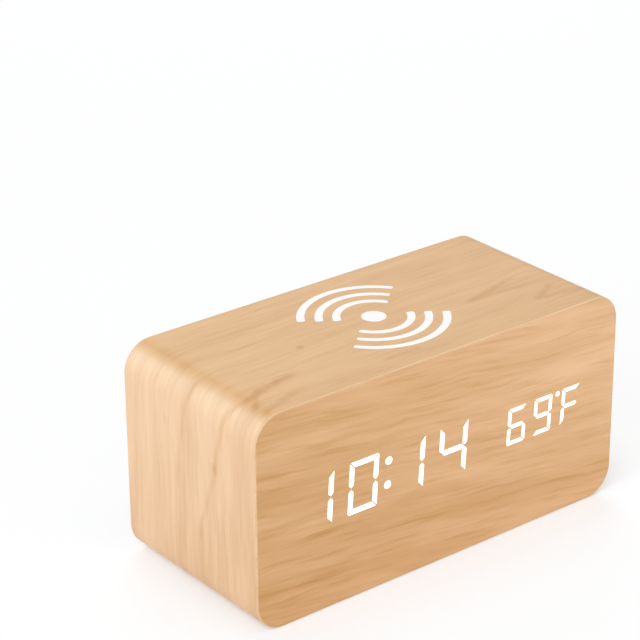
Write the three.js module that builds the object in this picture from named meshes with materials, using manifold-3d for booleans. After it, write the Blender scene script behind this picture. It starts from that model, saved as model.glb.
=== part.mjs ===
// Wood-cased digital alarm clock with a wireless charging top, as it would come apart on a bench.
// Millimetres, +Z up, lit face towards -Y, controls and battery door towards +Y.
// The origin is the middle of the base, on the surface that the clock stands on.
import * as THREE from "three";
import { mergeVertices } from "three/addons/utils/BufferGeometryUtils.js";
import Module from "manifold-3d";

const wasm = await Module();
wasm.setup();

// Case: a sleeve of board, rounded on its four long edges, with a board in each end and a veneer on its face.
const caseWidth = 150;
const caseHeight = 74;
const caseDepth = 68.5;
const cornerRadius = 10;
const edgeEase = 0.6;
const sideWall = 6;
const frontWall = 4;
const backWall = 6;
const veneerThickness = 0.6;

// Display: a plate of bar-shaped light wells on a board of small lamps, set in a window of the front wall.
const displayRise = 1.7; // centre of the digits above the middle of the case
const displayShift = 0.7; // centre of the digits to the right of the middle of the case
const timeDigits = 4;
const digitWidth = 11.7;
const digitHeight = 18.1;
const digitStroke = 1.9;
const digitSpace = 6.2;
const colonRoom = 1.1;
const colonShift = 0.5;
const colonRise = 0.8;
const colonRadius = 1.4;
const colonSpread = 8.3;
const smallDigits = 3;
const smallWidth = 7.85;
const smallHeight = 13;
const smallStroke = 1.4;
const smallSpace = 3.65;
const degreeRoom = 0.85;
const degreeRadius = 0.9;
const readingInset = 16.6; // from the sides of the case to the ends of the reading, about its middle
const slantDegrees = 3.5;
const barGap = 0.6;
const maskMargin = 3.5;
const maskCorner = 0.8;
const windowGap = 0.3;
const filmThickness = 0.4;
const filmGap = 0.1;
const displayLap = 4; // how far the display board laps the wood round its window
const lampLength = 1.6;
const lampWidth = 0.8;
const lampHeight = 0.6;
const driverWidth = 16;
const driverHeight = 8;

// Wireless charger: a flat wire spiral on a ferrite sheet, in a pocket under the top of the case.
const coilOuterRadius = 21.5;
const coilTurns = 7;
const coilPitch = 1.5;
const coilWireRadius = 0.5;
const coilSteps = 24;
const coilSides = 6;
const coilHeadroom = 0.4;
const ferriteSize = 48;
const ferriteThickness = 1.2;
const ferriteCorner = 1.5;
const pocketGap = 0.4;
const chargerBoardWidth = 68;
const chargerBoardDepth = 46;
const inductorOffset = 16;
const inductorRadius = 4;
const inductorHeight = 2.8;

// Rear cover: a black moulding, its rim lapped over the edge of the opening in the back wall.
const coverWidth = 97;
const coverHeight = 58.6;
const coverRadius = 6;
const coverRise = 0.026; // how far the cover sits above the middle, as a share of the wood around it
const rimProud = 1.5;
const rimWidth = 3;
const rimRound = 1.1;
const rimLap = 2.4;
const panelRecess = 1;
const panelThickness = 2.2;
const coverGap = 0.3;
const skirtWall = 1.8;
const hookWidth = 8;
const hookReach = 0.9;
const hookHeight = 1.4;
const hookSpread = 50;
const hookSlot = 0.8;
const hookSlotDepth = 3.5;

// Battery bay for four AAA cells side by side, and its door.
const cellLength = 44.5;
const cellDiameter = 10.5;
const cellCount = 4;
const cellGap = 0.6;
const bayClearance = 0.9;
const bayWall = 1.4;
const cradleHeight = 2.2;
const cradleWidth = 0.5;
const springRoom = 3.4;
const springTurns = 3;
const springPitch = 1.35;
const springRadius = 2.4;
const springWireRadius = 0.35;
const springSteps = 8;
const springSides = 5;
const contactSheet = 0.4;
const contactWidth = 8.4;
const contactHeight = 9;
const contactCorner = 0.8;
const contactTail = 3;
const tailWidth = 3;
const tailSlotGap = 0.3;
const nubHeight = 0.9;
const nubRadius = 1.7;
const nubTipRadius = 1;
const endLedge = 1.6; // door rests on this much of the bay's end walls
const sideLedge = 2.6; // and on this much of its side walls
const ledgeThickness = 1.6;
const doorMargin = 1.9; // from the foot of the rim to the door's hinge edge
const doorThickness = 1.8;
const doorRadius = 1.6;
const doorGap = 0.4;
const tongueWidth = 7;
const tongueLength = 1.2;
const tongueThickness = 0.9;
const tongueSpread = 30;
const tongueGap = 0.3;
const tongueDrop = 2; // room under the door for a tongue to turn down as the door swings

// Door latch: a springy U-shaped strip that ends in a finger bar, in a recess of the panel.
const recessWidth = 9.7;
const recessHeight = 12.6;
const recessDepth = 6.5;
const recessWall = 1.2;
const latchHeight = 11.8;
const latchTab = 1.5;
const latchStrip = 1;
const latchSpan = 5.9;
const latchBend = 1.5;
const latchDepth = 5.2;
const latchBarDrop = 0.4;
const latchReturn = 1.7;
const latchReturnHeight = 2.4;
const latchReturnDepth = 1.6;
const latchNose = 0.7;
const latchNoseDepth = 2.6;
const latchNoseThickness = 1;
const latchPlay = 0.4;
const catchHeight = 6;
const catchThickness = 1;

// Controls, placed from the door's latch edge and from the cover's centre line.
const buttonWidth = 5.4;
const buttonHeight = 6.6;
const buttonRadius = 0.8;
const buttonGap = 0.4;
const buttonPitch = 10.1;
const buttonRow = 14.1;
const buttonEdge = 5.9;
const buttonSink = 0.9;
const buttonLip = 1.1;
const buttonLipThickness = 0.9;
const buttonTravel = 0.5;
const switchSize = 6;
const switchHeight = 3.5;
const plungerRadius = 1.75;
const plungerGap = 0.2;
const plungerSeat = 0.9; // depth of a plunger's foot below the top of its switch, past its travel
const resetOffset = 1.3;
const resetRow = 7.4;
const resetHoleRadius = 0.8;
const resetSwitchSize = 4.5;
const resetPlungerRadius = 1;
const resetTravel = 0.25;
const resetReach = 1.2; // plunger standing out of its switch
const soundRow = 3;
const soundOffset = 1.2;
const soundHoleRadius = 1.1;
const buzzerRadius = 4.5;
const buzzerHeight = 5.2;
const buzzerEase = 0.4;
const buzzerWell = 1.5;
const micRow = -2;
const micHoleRadius = 0.7;
const micRadius = 3;
const micHeight = 4.5;
const micRimWidth = 0.9;
const micRimDepth = 0.4;
const stickerRow = -5.5;
const stickerOffset = 2.7;
const stickerRadius = 4.2;
const stickerThickness = 0.12;
const jackRow = -13.1;
const jackOffset = 6.4;
const jackHoleRadius = 2.4;
const jackBoreRadius = 1.9;
const jackSize = 8;
const jackFloor = 1;
const jackPinRadius = 0.65;
const jackPinLength = 4;
const ventRow = -12.2;
const ventOffset = 9.4;
const ventSlotHeight = 1;
const ventPitch = 2.1;
const ventSlots = 3;
const ventLong = 3.4;
const ventShort = 1.2;
const ventRib = 0.9;
const beadRadius = 1.1;
const beadLead = 0.3;
const beadLeadSpread = 1.3;
const beadDrop = 1.5;

// Boards, screws and wiring.
const boardThickness = 1.6;
const boardCorner = 1.5;
const boardGap = 0.6;
const bossRadius = 2.3;
const bossInset = 3.2;
const pilotGap = 0.2;
const boardHoleGap = 0.3;
const screwRadius = 1;
const screwHeadRadius = 1.9;
const screwCrownRadius = 1.1;
const screwHeadHeight = 1.4;
const screwHeadSide = 0.7;
const screwGrip = 4; // length of thread past the board
const chipSize = 8;
const chipHeight = 1.4;
const chipDrop = 12; // middle of the control chip below the middle of its board
const ribbonWidth = 14;
const ribbonThickness = 0.9;
const ribbonSag = 7;
const leadRadius = 1.1;
const leadBend = 4.4;
const leadRise = 12; // where the charger lead leaves the control board, above its middle
const leadInset = 8; // and where it meets the charger board, in from its side
const leadDepth = 11.5; // and behind the middle of that board
const batteryLeadRadius = 0.65;
const batteryLeadBend = 2.6;
const batteryLeadReach = 6.4;
const solderGap = 0.3;

// Making of solids: how far joined shapes run into each other, and cuts run past a face.
const weld = 0.1;
const overcut = 1;
const easeSteps = 3;

// Planes from front to back.
const frontY = -(caseDepth + rimProud) / 2;
const veneerY = frontY + veneerThickness;
const innerFrontY = veneerY + frontWall;
const backY = frontY + caseDepth;
const innerBackY = backY - backWall;
const rimY = backY + rimProud;
const panelY = rimY - panelRecess;
const panelInnerY = panelY - panelThickness;
const doorInnerY = panelY - doorThickness;
const bayFloorY = doorInnerY - cellDiameter - bayClearance;
const tubBottomY = bayFloorY - bayWall;
const skirtY = innerBackY - hookHeight;
const boardTopY = panelY - recessDepth - recessWall - boardGap;
const boardBottomY = boardTopY - boardThickness;

// Heights, and the middle of the cover and of the display above the base.
const ceilingZ = caseHeight - sideWall;
const coverZ = caseHeight / 2 + coverRise * (caseHeight - coverHeight);
const displayZ = caseHeight / 2 + displayRise;

// Sides of the bay, the door and the recess, with X from the middle of the cover.
const cellPitch = cellDiameter + cellGap;
const bayLength = cellLength + springRoom + nubHeight + 2 * contactSheet;
const bayHeight = cellCount * cellPitch + cellGap;
const doorX0 = -coverWidth / 2 + rimWidth + doorMargin;
const bayX0 = doorX0 + endLedge;
const bayX1 = bayX0 + bayLength;
const doorX1 = bayX1 + endLedge;
const doorHeight = bayHeight + 2 * sideLedge;
const recessX1 = doorX1 + recessWidth;
const doorX = (doorX0 + doorX1) / 2;
const latchTabX = doorX1 + latchTab;
const latchBarX = latchTabX + latchSpan;

// A closed mesh as a solid for cutting and joining, with its faces pointing out.
function solid(geometry) {
  geometry.deleteAttribute("normal");
  geometry.deleteAttribute("uv");
  const merged = mergeVertices(geometry, 1e-4);
  const index = merged.index.array;
  const faces = [];
  for (let i = 0; i < index.length; i += 3) {
    const [a, b, c] = index.slice(i, i + 3);
    if (a !== b && b !== c && c !== a) faces.push([a, b, c]);
  }
  const vertProperties = merged.getAttribute("position").array;
  const build = (list) =>
    new wasm.Manifold(
      new wasm.Mesh({ numProp: 3, vertProperties, triVerts: new Uint32Array(list.flat()) }),
    );
  const made = build(faces);
  return made.volume() > 0 ? made : build(faces.map(([a, b, c]) => [a, c, b]));
}

function join(...solids) {
  return solids.reduce((sum, next) => sum.add(next));
}

function cut(from, ...solids) {
  return solids.reduce((rest, next) => rest.subtract(next), from);
}

// Moves each point of a mesh to the place that a function gives for it.
function mapped(geometry, place) {
  const points = geometry.getAttribute("position");
  for (let i = 0; i < points.count; i++)
    points.setXYZ(i, ...place(points.getX(i), points.getY(i), points.getZ(i)));
  return geometry;
}

function extruded(shape, curveSegments) {
  return new THREE.ExtrudeGeometry(shape, { depth: 1, bevelEnabled: false, curveSegments });
}

// An outline in X and Z, with its thickness along Y.
function slab(shape, y0, y1, curveSegments = 6) {
  return solid(mapped(extruded(shape, curveSegments), (x, z, t) => [x, t > 0.5 ? y0 : y1, z]));
}

// An outline in X and Y, with its thickness along Z.
function tile(shape, z0, z1, curveSegments = 6) {
  return solid(mapped(extruded(shape, curveSegments), (x, y, t) => [x, y, t > 0.5 ? z1 : z0]));
}

// An outline in Y and Z, with its thickness along X.
function sheet(shape, x0, x1, curveSegments = 6) {
  return solid(mapped(extruded(shape, curveSegments), (y, z, t) => [t > 0.5 ? x1 : x0, y, z]));
}

function block(x0, x1, y0, y1, z0, z1) {
  const unit = new THREE.BoxGeometry(1, 1, 1);
  return solid(mapped(unit, (x, y, z) => [x > 0 ? x1 : x0, y > 0 ? y1 : y0, z > 0 ? z1 : z0]));
}

// A block given by its middle and size in X and Z, and by its two planes along Y.
function brick(x, z, width, height, y0, y1) {
  return block(x - width / 2, x + width / 2, y0, y1, z - height / 2, z + height / 2);
}

function lathed(profile, segments) {
  const points = profile.map(([radius, along]) => new THREE.Vector2(radius, along));
  return new THREE.LatheGeometry(points, segments);
}

// A profile of radius and Y turned round an axis along Y.
function turned(profile, x, z, segments = 16) {
  return solid(lathed(profile, segments).translate(x, 0, z));
}

// A profile of radius and reach turned round an axis that leaves a point along a direction.
function turnedAlong(profile, point, direction, segments) {
  const turn = new THREE.Quaternion().setFromUnitVectors(new THREE.Vector3(0, 1, 0), direction);
  return solid(lathed(profile, segments).applyQuaternion(turn).translate(...point));
}

function rod(radius, x, z, y0, y1, segments = 16) {
  return turned([[0, y0], [radius, y0], [radius, y1], [0, y1]], x, z, segments);
}

// A round post along Z.
function peg(x, y, radius, z0, z1) {
  return tile(new THREE.Shape().absarc(x, y, radius, 0, 2 * Math.PI), z0, z1, 6);
}

// A board with its screw holes, across its thickness along Y.
function drilled(board, places, y0, y1) {
  const radius = screwRadius + boardHoleGap;
  return cut(board, ...places.map(([x, z]) => rod(radius, x, z, y0 - overcut, y1 + overcut, 12)));
}

function roundedRect(width, height, radius, x = 0, y = 0) {
  const r = Math.min(radius, width / 2 - 0.01, height / 2 - 0.01);
  const [left, right, low, high] = [x - width / 2, x + width / 2, y - height / 2, y + height / 2];
  const shape = new THREE.Shape();
  shape.absarc(right - r, high - r, r, 0, Math.PI / 2);
  shape.absarc(left + r, high - r, r, Math.PI / 2, Math.PI);
  shape.absarc(left + r, low + r, r, Math.PI, 1.5 * Math.PI);
  shape.absarc(right - r, low + r, r, 1.5 * Math.PI, 2 * Math.PI);
  return shape;
}

// An outline in X and Z drawn from y0 to y1, with both of its end edges eased.
function easedBlock(shape, y0, y1, ease, curveSegments) {
  const geometry = new THREE.ExtrudeGeometry(shape, {
    depth: y1 - y0 - 2 * ease,
    bevelThickness: ease,
    bevelSize: ease,
    bevelOffset: -ease,
    bevelSegments: easeSteps,
    curveSegments,
  });
  return solid(mapped(geometry, (x, z, t) => [x, y1 - ease - t, z]));
}

// One unbroken round tube along a row of points, with flat ends.
function tubeAlong(points, radius, sides) {
  const tangents = points.map((_, i) =>
    points[Math.min(i + 1, points.length - 1)].clone().sub(points[Math.max(i - 1, 0)]).normalize(),
  );
  const level = Math.abs(tangents[0].z) < 0.9;
  const start = level ? new THREE.Vector3(0, 0, 1) : new THREE.Vector3(1, 0, 0);
  let normal = start.cross(tangents[0]).normalize();
  const positions = [];
  points.forEach((point, i) => {
    normal = normal.clone().addScaledVector(tangents[i], -normal.dot(tangents[i])).normalize();
    const binormal = tangents[i].clone().cross(normal);
    for (let k = 0; k < sides; k++) {
      const angle = (k / sides) * 2 * Math.PI;
      const p = point.clone();
      p.addScaledVector(normal, radius * Math.cos(angle));
      p.addScaledVector(binormal, radius * Math.sin(angle));
      positions.push(p.x, p.y, p.z);
    }
  });
  const faces = [];
  for (let i = 0; i + 1 < points.length; i++)
    for (let k = 0; k < sides; k++) {
      const a = i * sides + k;
      const b = i * sides + ((k + 1) % sides);
      faces.push(a, b, a + sides, b, b + sides, a + sides);
    }
  const last = (points.length - 1) * sides;
  for (let k = 1; k + 1 < sides; k++) faces.push(0, k + 1, k, last, last + k, last + k + 1);
  const geometry = new THREE.BufferGeometry();
  geometry.setAttribute("position", new THREE.Float32BufferAttribute(positions, 3));
  return solid(geometry.setIndex(faces));
}

// Least clear gap between the turns of a wound tube, measured on its points from three quarters of a turn on.
function leastGap(points, radius, stepsPerTurn) {
  let least = Infinity;
  for (let i = 0; i < points.length; i++)
    for (let j = i + Math.floor(0.75 * stepsPerTurn); j < points.length; j++)
      least = Math.min(least, points[i].distanceTo(points[j]));
  return least - 2 * radius;
}

// A smooth run of points through a few hand-placed ones.
function smoothRun(points, steps) {
  return new THREE.CatmullRomCurve3(points.map((p) => new THREE.Vector3(...p))).getPoints(steps);
}

// A pan-headed screw that goes in along a direction, with its head seated at a point.
function screw(point, direction, grip) {
  const profile = [
    [0, -screwHeadHeight],
    [screwCrownRadius, -screwHeadHeight],
    [screwHeadRadius, -screwHeadSide],
    [screwHeadRadius, 0],
    [screwRadius, 0],
    [screwRadius, grip - screwRadius],
    [0, grip],
  ];
  return turnedAlong(profile, point, direction, 10);
}

const forward = new THREE.Vector3(0, -1, 0);
const backward = new THREE.Vector3(0, 1, 0);
const upward = new THREE.Vector3(0, 0, 1);

function material(color, roughness, metalness = 0) {
  return new THREE.MeshStandardMaterial({ color, roughness, metalness });
}

const looks = {
  wood: () => material(0xdcaf80, 0.5),
  blackPlastic: () => material(0x232324, 0.5),
  whiteFilm: () => material(0xf2f0ea, 0.6),
  greenBoard: () => material(0x1f5b38, 0.45),
  darkPart: () => material(0x1b1b1d, 0.6),
  steel: () => material(0xb9bcc0, 0.3, 1),
  spring: () => material(0xc9c9c4, 0.3, 1),
  copper: () => material(0xb4683a, 0.35, 1),
  ferrite: () => material(0x38383b, 0.7),
  redFilm: () => material(0xd81e24, 0.45),
  redLead: () => material(0xa8201c, 0.55),
  greyLead: () => material(0x8a8d92, 0.6),
};

const clock = new THREE.Group();

// Adds one named piece to a group.
function piece(group, name, made, look) {
  const { vertProperties, triVerts } = made.getMesh();
  const geometry = new THREE.BufferGeometry();
  geometry.setAttribute("position", new THREE.BufferAttribute(vertProperties, 3));
  geometry.setIndex(new THREE.BufferAttribute(triVerts, 1));
  geometry.computeVertexNormals();
  const mesh = new THREE.Mesh(geometry, look());
  mesh.name = name;
  group.add(mesh);
}

// A group whose own origin is shifted along X and Z, so that planes along Y stay the clock's own.
function groupAt(x, z) {
  const group = new THREE.Group();
  group.position.set(x, 0, z);
  clock.add(group);
  return group;
}

// Display layout: where each digit stands, from the left, about the middle of the reading.
const slant = Math.tan(THREE.MathUtils.degToRad(slantDegrees));
const timeWidth = timeDigits * digitWidth + (timeDigits - 1) * digitSpace + colonRoom;
const temperatureWidth = smallDigits * smallWidth + (smallDigits - 1) * smallSpace + degreeRoom;
const readingWidth = caseWidth - 2 * readingInset;
const readingSpace = readingWidth - timeWidth - temperatureWidth - slant * smallHeight;
const maskWidth = readingWidth + 2 * maskMargin;
const maskHeight = digitHeight + 2 * maskMargin;

// The seven bars of a digit, mitred at its corners and pointed at its middle, from its lower left corner.
function digitBars(x, z, width, height, stroke) {
  const [half, mid, gap] = [stroke / 2, height / 2, barGap / 2];
  const top = [[gap, 0], [width - gap, 0], [width - stroke - gap, -stroke], [stroke + gap, -stroke]];
  const foot = gap + half - mid;
  const side = [[0, -gap], [stroke, -stroke - gap], [stroke, foot], [half, gap - mid], [0, foot]];
  const middle = [[half + gap, 0], [stroke + gap, half], [width - stroke - gap, half]];
  const bars = [
    top.map(([a, b]) => [a, height + b]),
    top.map(([a, b]) => [a, -b]),
    side.map(([a, b]) => [a, height + b]),
    side.map(([a, b]) => [a, -b]),
    side.map(([a, b]) => [width - a, height + b]),
    side.map(([a, b]) => [width - a, -b]),
    [...middle, ...middle.map(([a, b]) => [width - a, -b])].map(([a, b]) => [a, mid + b]),
  ];
  return bars.map((bar) => bar.map(([a, b]) => new THREE.Vector2(x + a + slant * b, z + b)));
}

function displayBars() {
  const bars = [];
  let x = -readingWidth / 2;
  for (let i = 0; i < timeDigits; i++) {
    bars.push(...digitBars(x, -digitHeight / 2, digitWidth, digitHeight, digitStroke));
    x += digitWidth + digitSpace + (i === 1 ? colonRoom : 0);
  }
  x += readingSpace - digitSpace;
  for (let i = 0; i < smallDigits; i++) {
    bars.push(...digitBars(x, -smallHeight / 2, smallWidth, smallHeight, smallStroke));
    x += smallWidth + smallSpace + (i === 1 ? degreeRoom : 0);
  }
  return bars;
}

function displayDots() {
  const colonX = -readingWidth / 2 + 2 * digitWidth + digitSpace + (digitSpace + colonRoom) / 2;
  const colonX2 = colonX + colonShift + (slant * digitHeight) / 2;
  const unitX = readingWidth / 2 - slant * smallHeight - smallWidth;
  const degreeX = unitX - (smallSpace + degreeRoom) / 2 + slant * smallHeight;
  return [
    [colonX2 + (slant * colonSpread) / 2, colonRise + colonSpread / 2, colonRadius],
    [colonX2 - (slant * colonSpread) / 2, colonRise - colonSpread / 2, colonRadius],
    [degreeX, smallHeight / 2 - degreeRadius, degreeRadius],
  ];
}

// Screw places at the corners of a board, or of the frame that carries it.
function corners(halfWidth, halfHeight) {
  return [[-1, -1], [1, -1], [1, 1], [-1, 1]].map(([a, b]) => [a * halfWidth, b * halfHeight]);
}

const displayBoardWidth = maskWidth + 2 * displayLap;
const displayBoardHeight = maskHeight + 2 * displayLap;
const displayScrews = corners(
  (displayBoardWidth - displayLap) / 2,
  (displayBoardHeight - displayLap) / 2,
);
const displayBackY = innerFrontY + boardThickness;
const displayGrip = boardThickness + frontWall - screwRadius;

// Charger layout: the coil's middle is the middle of the case, front to back.
const chargerY = (frontY + backY) / 2;
const coilHeight = 2 * coilWireRadius * Math.cos(Math.PI / coilSides);
const pocketDepth = ferriteThickness + coilHeight + coilHeadroom;
const pocketSize = ferriteSize + 2 * pocketGap;
const chargerScrewX = (chargerBoardWidth + pocketSize) / 4;
const chargerScrewY = chargerBoardDepth / 2 - bossInset;
const chargerGrip = boardThickness + sideWall - screwRadius;

// Wood case: a hollow sleeve, a board glued flush into each of its ends, and the face veneer in front.
function woodCase() {
  const outline = roundedRect(caseWidth, caseHeight, cornerRadius, 0, caseHeight / 2);
  const body = easedBlock(outline, frontY, backY, edgeEase, 10);
  const past = caseWidth;
  const face = block(-past, past, frontY - past, veneerY, -past, past);
  const hollow = roundedRect(
    caseWidth - 2 * sideWall,
    caseHeight - 2 * sideWall,
    cornerRadius - sideWall,
    0,
    caseHeight / 2,
  );
  const opening = roundedRect(
    coverWidth - 2 * rimLap,
    coverHeight - 2 * rimLap,
    coverRadius - rimLap,
    0,
    coverZ,
  );
  const lit = roundedRect(
    maskWidth + 2 * windowGap,
    maskHeight + 2 * windowGap,
    maskCorner + windowGap,
    displayShift,
    displayZ,
  );
  const pocket = roundedRect(pocketSize, pocketSize, ferriteCorner + pocketGap, 0, chargerY);
  const pilotRadius = screwRadius + pilotGap;
  const pilotY = displayBackY - displayGrip - pilotGap;
  const pilots = displayScrews.map(([x, z]) =>
    rod(pilotRadius, displayShift + x, displayZ + z, pilotY, innerFrontY + overcut, 10),
  );
  const chargerPilotZ = ceilingZ - boardThickness + chargerGrip + pilotGap;
  const chargerPilots = corners(chargerScrewX, chargerScrewY).map(([x, y]) =>
    peg(x, chargerY + y, pilotRadius, ceilingZ - overcut, chargerPilotZ),
  );
  const sleeve = cut(
    body,
    face,
    slab(hollow, veneerY - overcut, backY + overcut),
    tile(pocket, ceilingZ - overcut, ceilingZ + pocketDepth, 3),
    ...chargerPilots,
  );
  const window = slab(lit, veneerY - overcut, innerFrontY + overcut, 2);
  const frontBoard = cut(slab(hollow, veneerY, innerFrontY), window, ...pilots);
  const mouth = slab(opening, innerBackY - overcut, backY + overcut);
  const backBoard = cut(slab(hollow, innerBackY, backY), mouth);
  piece(clock, "wood_case", sleeve, looks.wood);
  piece(clock, "front_board", frontBoard, looks.wood);
  piece(clock, "back_board", backBoard, looks.wood);
  piece(clock, "front_veneer", body.intersect(face), looks.wood);
}

// Display: film, mask of light wells and lamp board, screwed to the inside of the front wall.
function displayModule() {
  const group = groupAt(displayShift, displayZ);
  const filmBackY = veneerY + filmGap + filmThickness;
  const film = roundedRect(maskWidth, maskHeight, maskCorner);
  piece(group, "diffuser_film", slab(film, veneerY + filmGap, filmBackY, 2), looks.whiteFilm);

  const bars = displayBars();
  const dots = displayDots();
  const [wellFrontY, wellBackY] = [filmBackY - overcut, innerFrontY + overcut];
  const wells = bars.map((bar) => slab(new THREE.Shape(bar), wellFrontY, wellBackY));
  const dotWells = dots.map(([x, z, r]) => rod(r, x, z, wellFrontY, wellBackY));
  const mask = cut(slab(film, filmBackY, innerFrontY, 2), ...wells, ...dotWells);
  piece(group, "segment_mask", mask, looks.blackPlastic);

  const outline = roundedRect(displayBoardWidth, displayBoardHeight, boardCorner);
  const plate = slab(outline, innerFrontY, displayBackY, 3);
  const board = drilled(plate, displayScrews, innerFrontY, displayBackY);
  const lampY = innerFrontY - lampHeight;
  const lamp = (x, z, width, height) => brick(x, z, width, height, lampY, innerFrontY + weld);
  const lamps = bars.map((bar) => {
    const box = new THREE.Box2().setFromPoints(bar);
    const [centre, size] = [box.getCenter(new THREE.Vector2()), box.getSize(new THREE.Vector2())];
    return size.x > size.y
      ? lamp(centre.x, centre.y, lampLength, lampWidth)
      : lamp(centre.x, centre.y, lampWidth, lampLength);
  });
  const dotLamps = dots.map(([x, z]) => lamp(x, z, lampWidth, lampWidth));
  const driver = brick(0, 0, driverWidth, driverHeight, displayBackY - weld, displayBackY + chipHeight);
  piece(group, "display_board", join(board, ...lamps, ...dotLamps, driver), looks.greenBoard);

  displayScrews.forEach(([x, z], i) => {
    const seated = screw([x, displayBackY, z], forward, displayGrip);
    piece(group, `display_screw_${i + 1}`, seated, looks.steel);
  });
}

// Wireless charger: coil, ferrite and board, screwed up under the top of the case.
function chargerModule() {
  const group = new THREE.Group();
  group.position.set(0, chargerY, 0);
  clock.add(group);

  const ferriteTopZ = ceilingZ + ferriteThickness;
  const coilZ = ferriteTopZ + coilHeight / 2;
  const points = [];
  for (let i = 0; i <= coilTurns * coilSteps; i++) {
    const radius = coilOuterRadius - coilWireRadius - (coilPitch * i) / coilSteps;
    const angle = (2 * Math.PI * i) / coilSteps;
    points.push(new THREE.Vector3(radius * Math.cos(angle), radius * Math.sin(angle), coilZ));
  }
  const coilGap = leastGap(points, coilWireRadius, coilSteps);
  console.log("charging_coil least gap", coilGap.toFixed(2), "mm");
  piece(group, "charging_coil", tubeAlong(points, coilWireRadius, coilSides), looks.copper);
  const ferrite = roundedRect(ferriteSize, ferriteSize, ferriteCorner);
  piece(group, "ferrite_sheet", tile(ferrite, ceilingZ, ferriteTopZ, 2), looks.ferrite);

  const outline = roundedRect(chargerBoardWidth, chargerBoardDepth, boardCorner);
  const places = corners(chargerScrewX, chargerScrewY);
  const lowZ = ceilingZ - boardThickness;
  const holeRadius = screwRadius + boardHoleGap;
  const holes = places.map(([x, y]) => peg(x, y, holeRadius, lowZ - overcut, ceilingZ + overcut));
  const board = cut(tile(outline, lowZ, ceilingZ, 3), ...holes);
  const chipOutline = roundedRect(chipSize, chipSize, 0);
  const chip = tile(chipOutline, lowZ - chipHeight, lowZ + weld);
  const inductor = peg(-inductorOffset, 0, inductorRadius, lowZ - inductorHeight, lowZ + weld);
  piece(group, "charger_board", join(board, chip, inductor), looks.greenBoard);
  places.forEach(([x, y], i) => {
    piece(group, `charger_screw_${i + 1}`, screw([x, y, lowZ], upward, chargerGrip), looks.steel);
  });
}

// Places of the controls on the panel, with Z from the middle of the cover.
const downX = doorX1 + buttonEdge;
const upX = downX + buttonPitch;
const setX = upX + buttonPitch;
const buttons = [["set", setX], ["up", upX], ["down", downX]];
const resetX = setX + resetOffset;
const soundX = upX + soundOffset;
const stickerX = upX + stickerOffset;
const jackX = upX + jackOffset;
const ventX = doorX1 + ventOffset;

// Control board: in the part of the cover beside the battery tub.
const skirtWidth = coverWidth - 2 * rimLap - 2 * coverGap;
const skirtHeight = coverHeight - 2 * rimLap - 2 * coverGap;
const boardX0 = bayX1 + bayWall + boardGap;
const boardX1 = skirtWidth / 2 - skirtWall - boardGap;
const boardX = (boardX0 + boardX1) / 2;
const boardHeight = skirtHeight - 2 * skirtWall - 2 * boardGap;
const bossSpread = (boardX1 - boardX0) / 2 - bossInset;
const bosses = corners(bossSpread, boardHeight / 2 - bossInset).map(([x, z]) => [boardX + x, z]);

const cells = [...Array(cellCount).keys()].map((i) => ((cellCount - 1) / 2 - i) * cellPitch);
const tongues = [-tongueSpread / 2, tongueSpread / 2];
const noseX = latchBarX + latchNose;

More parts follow.
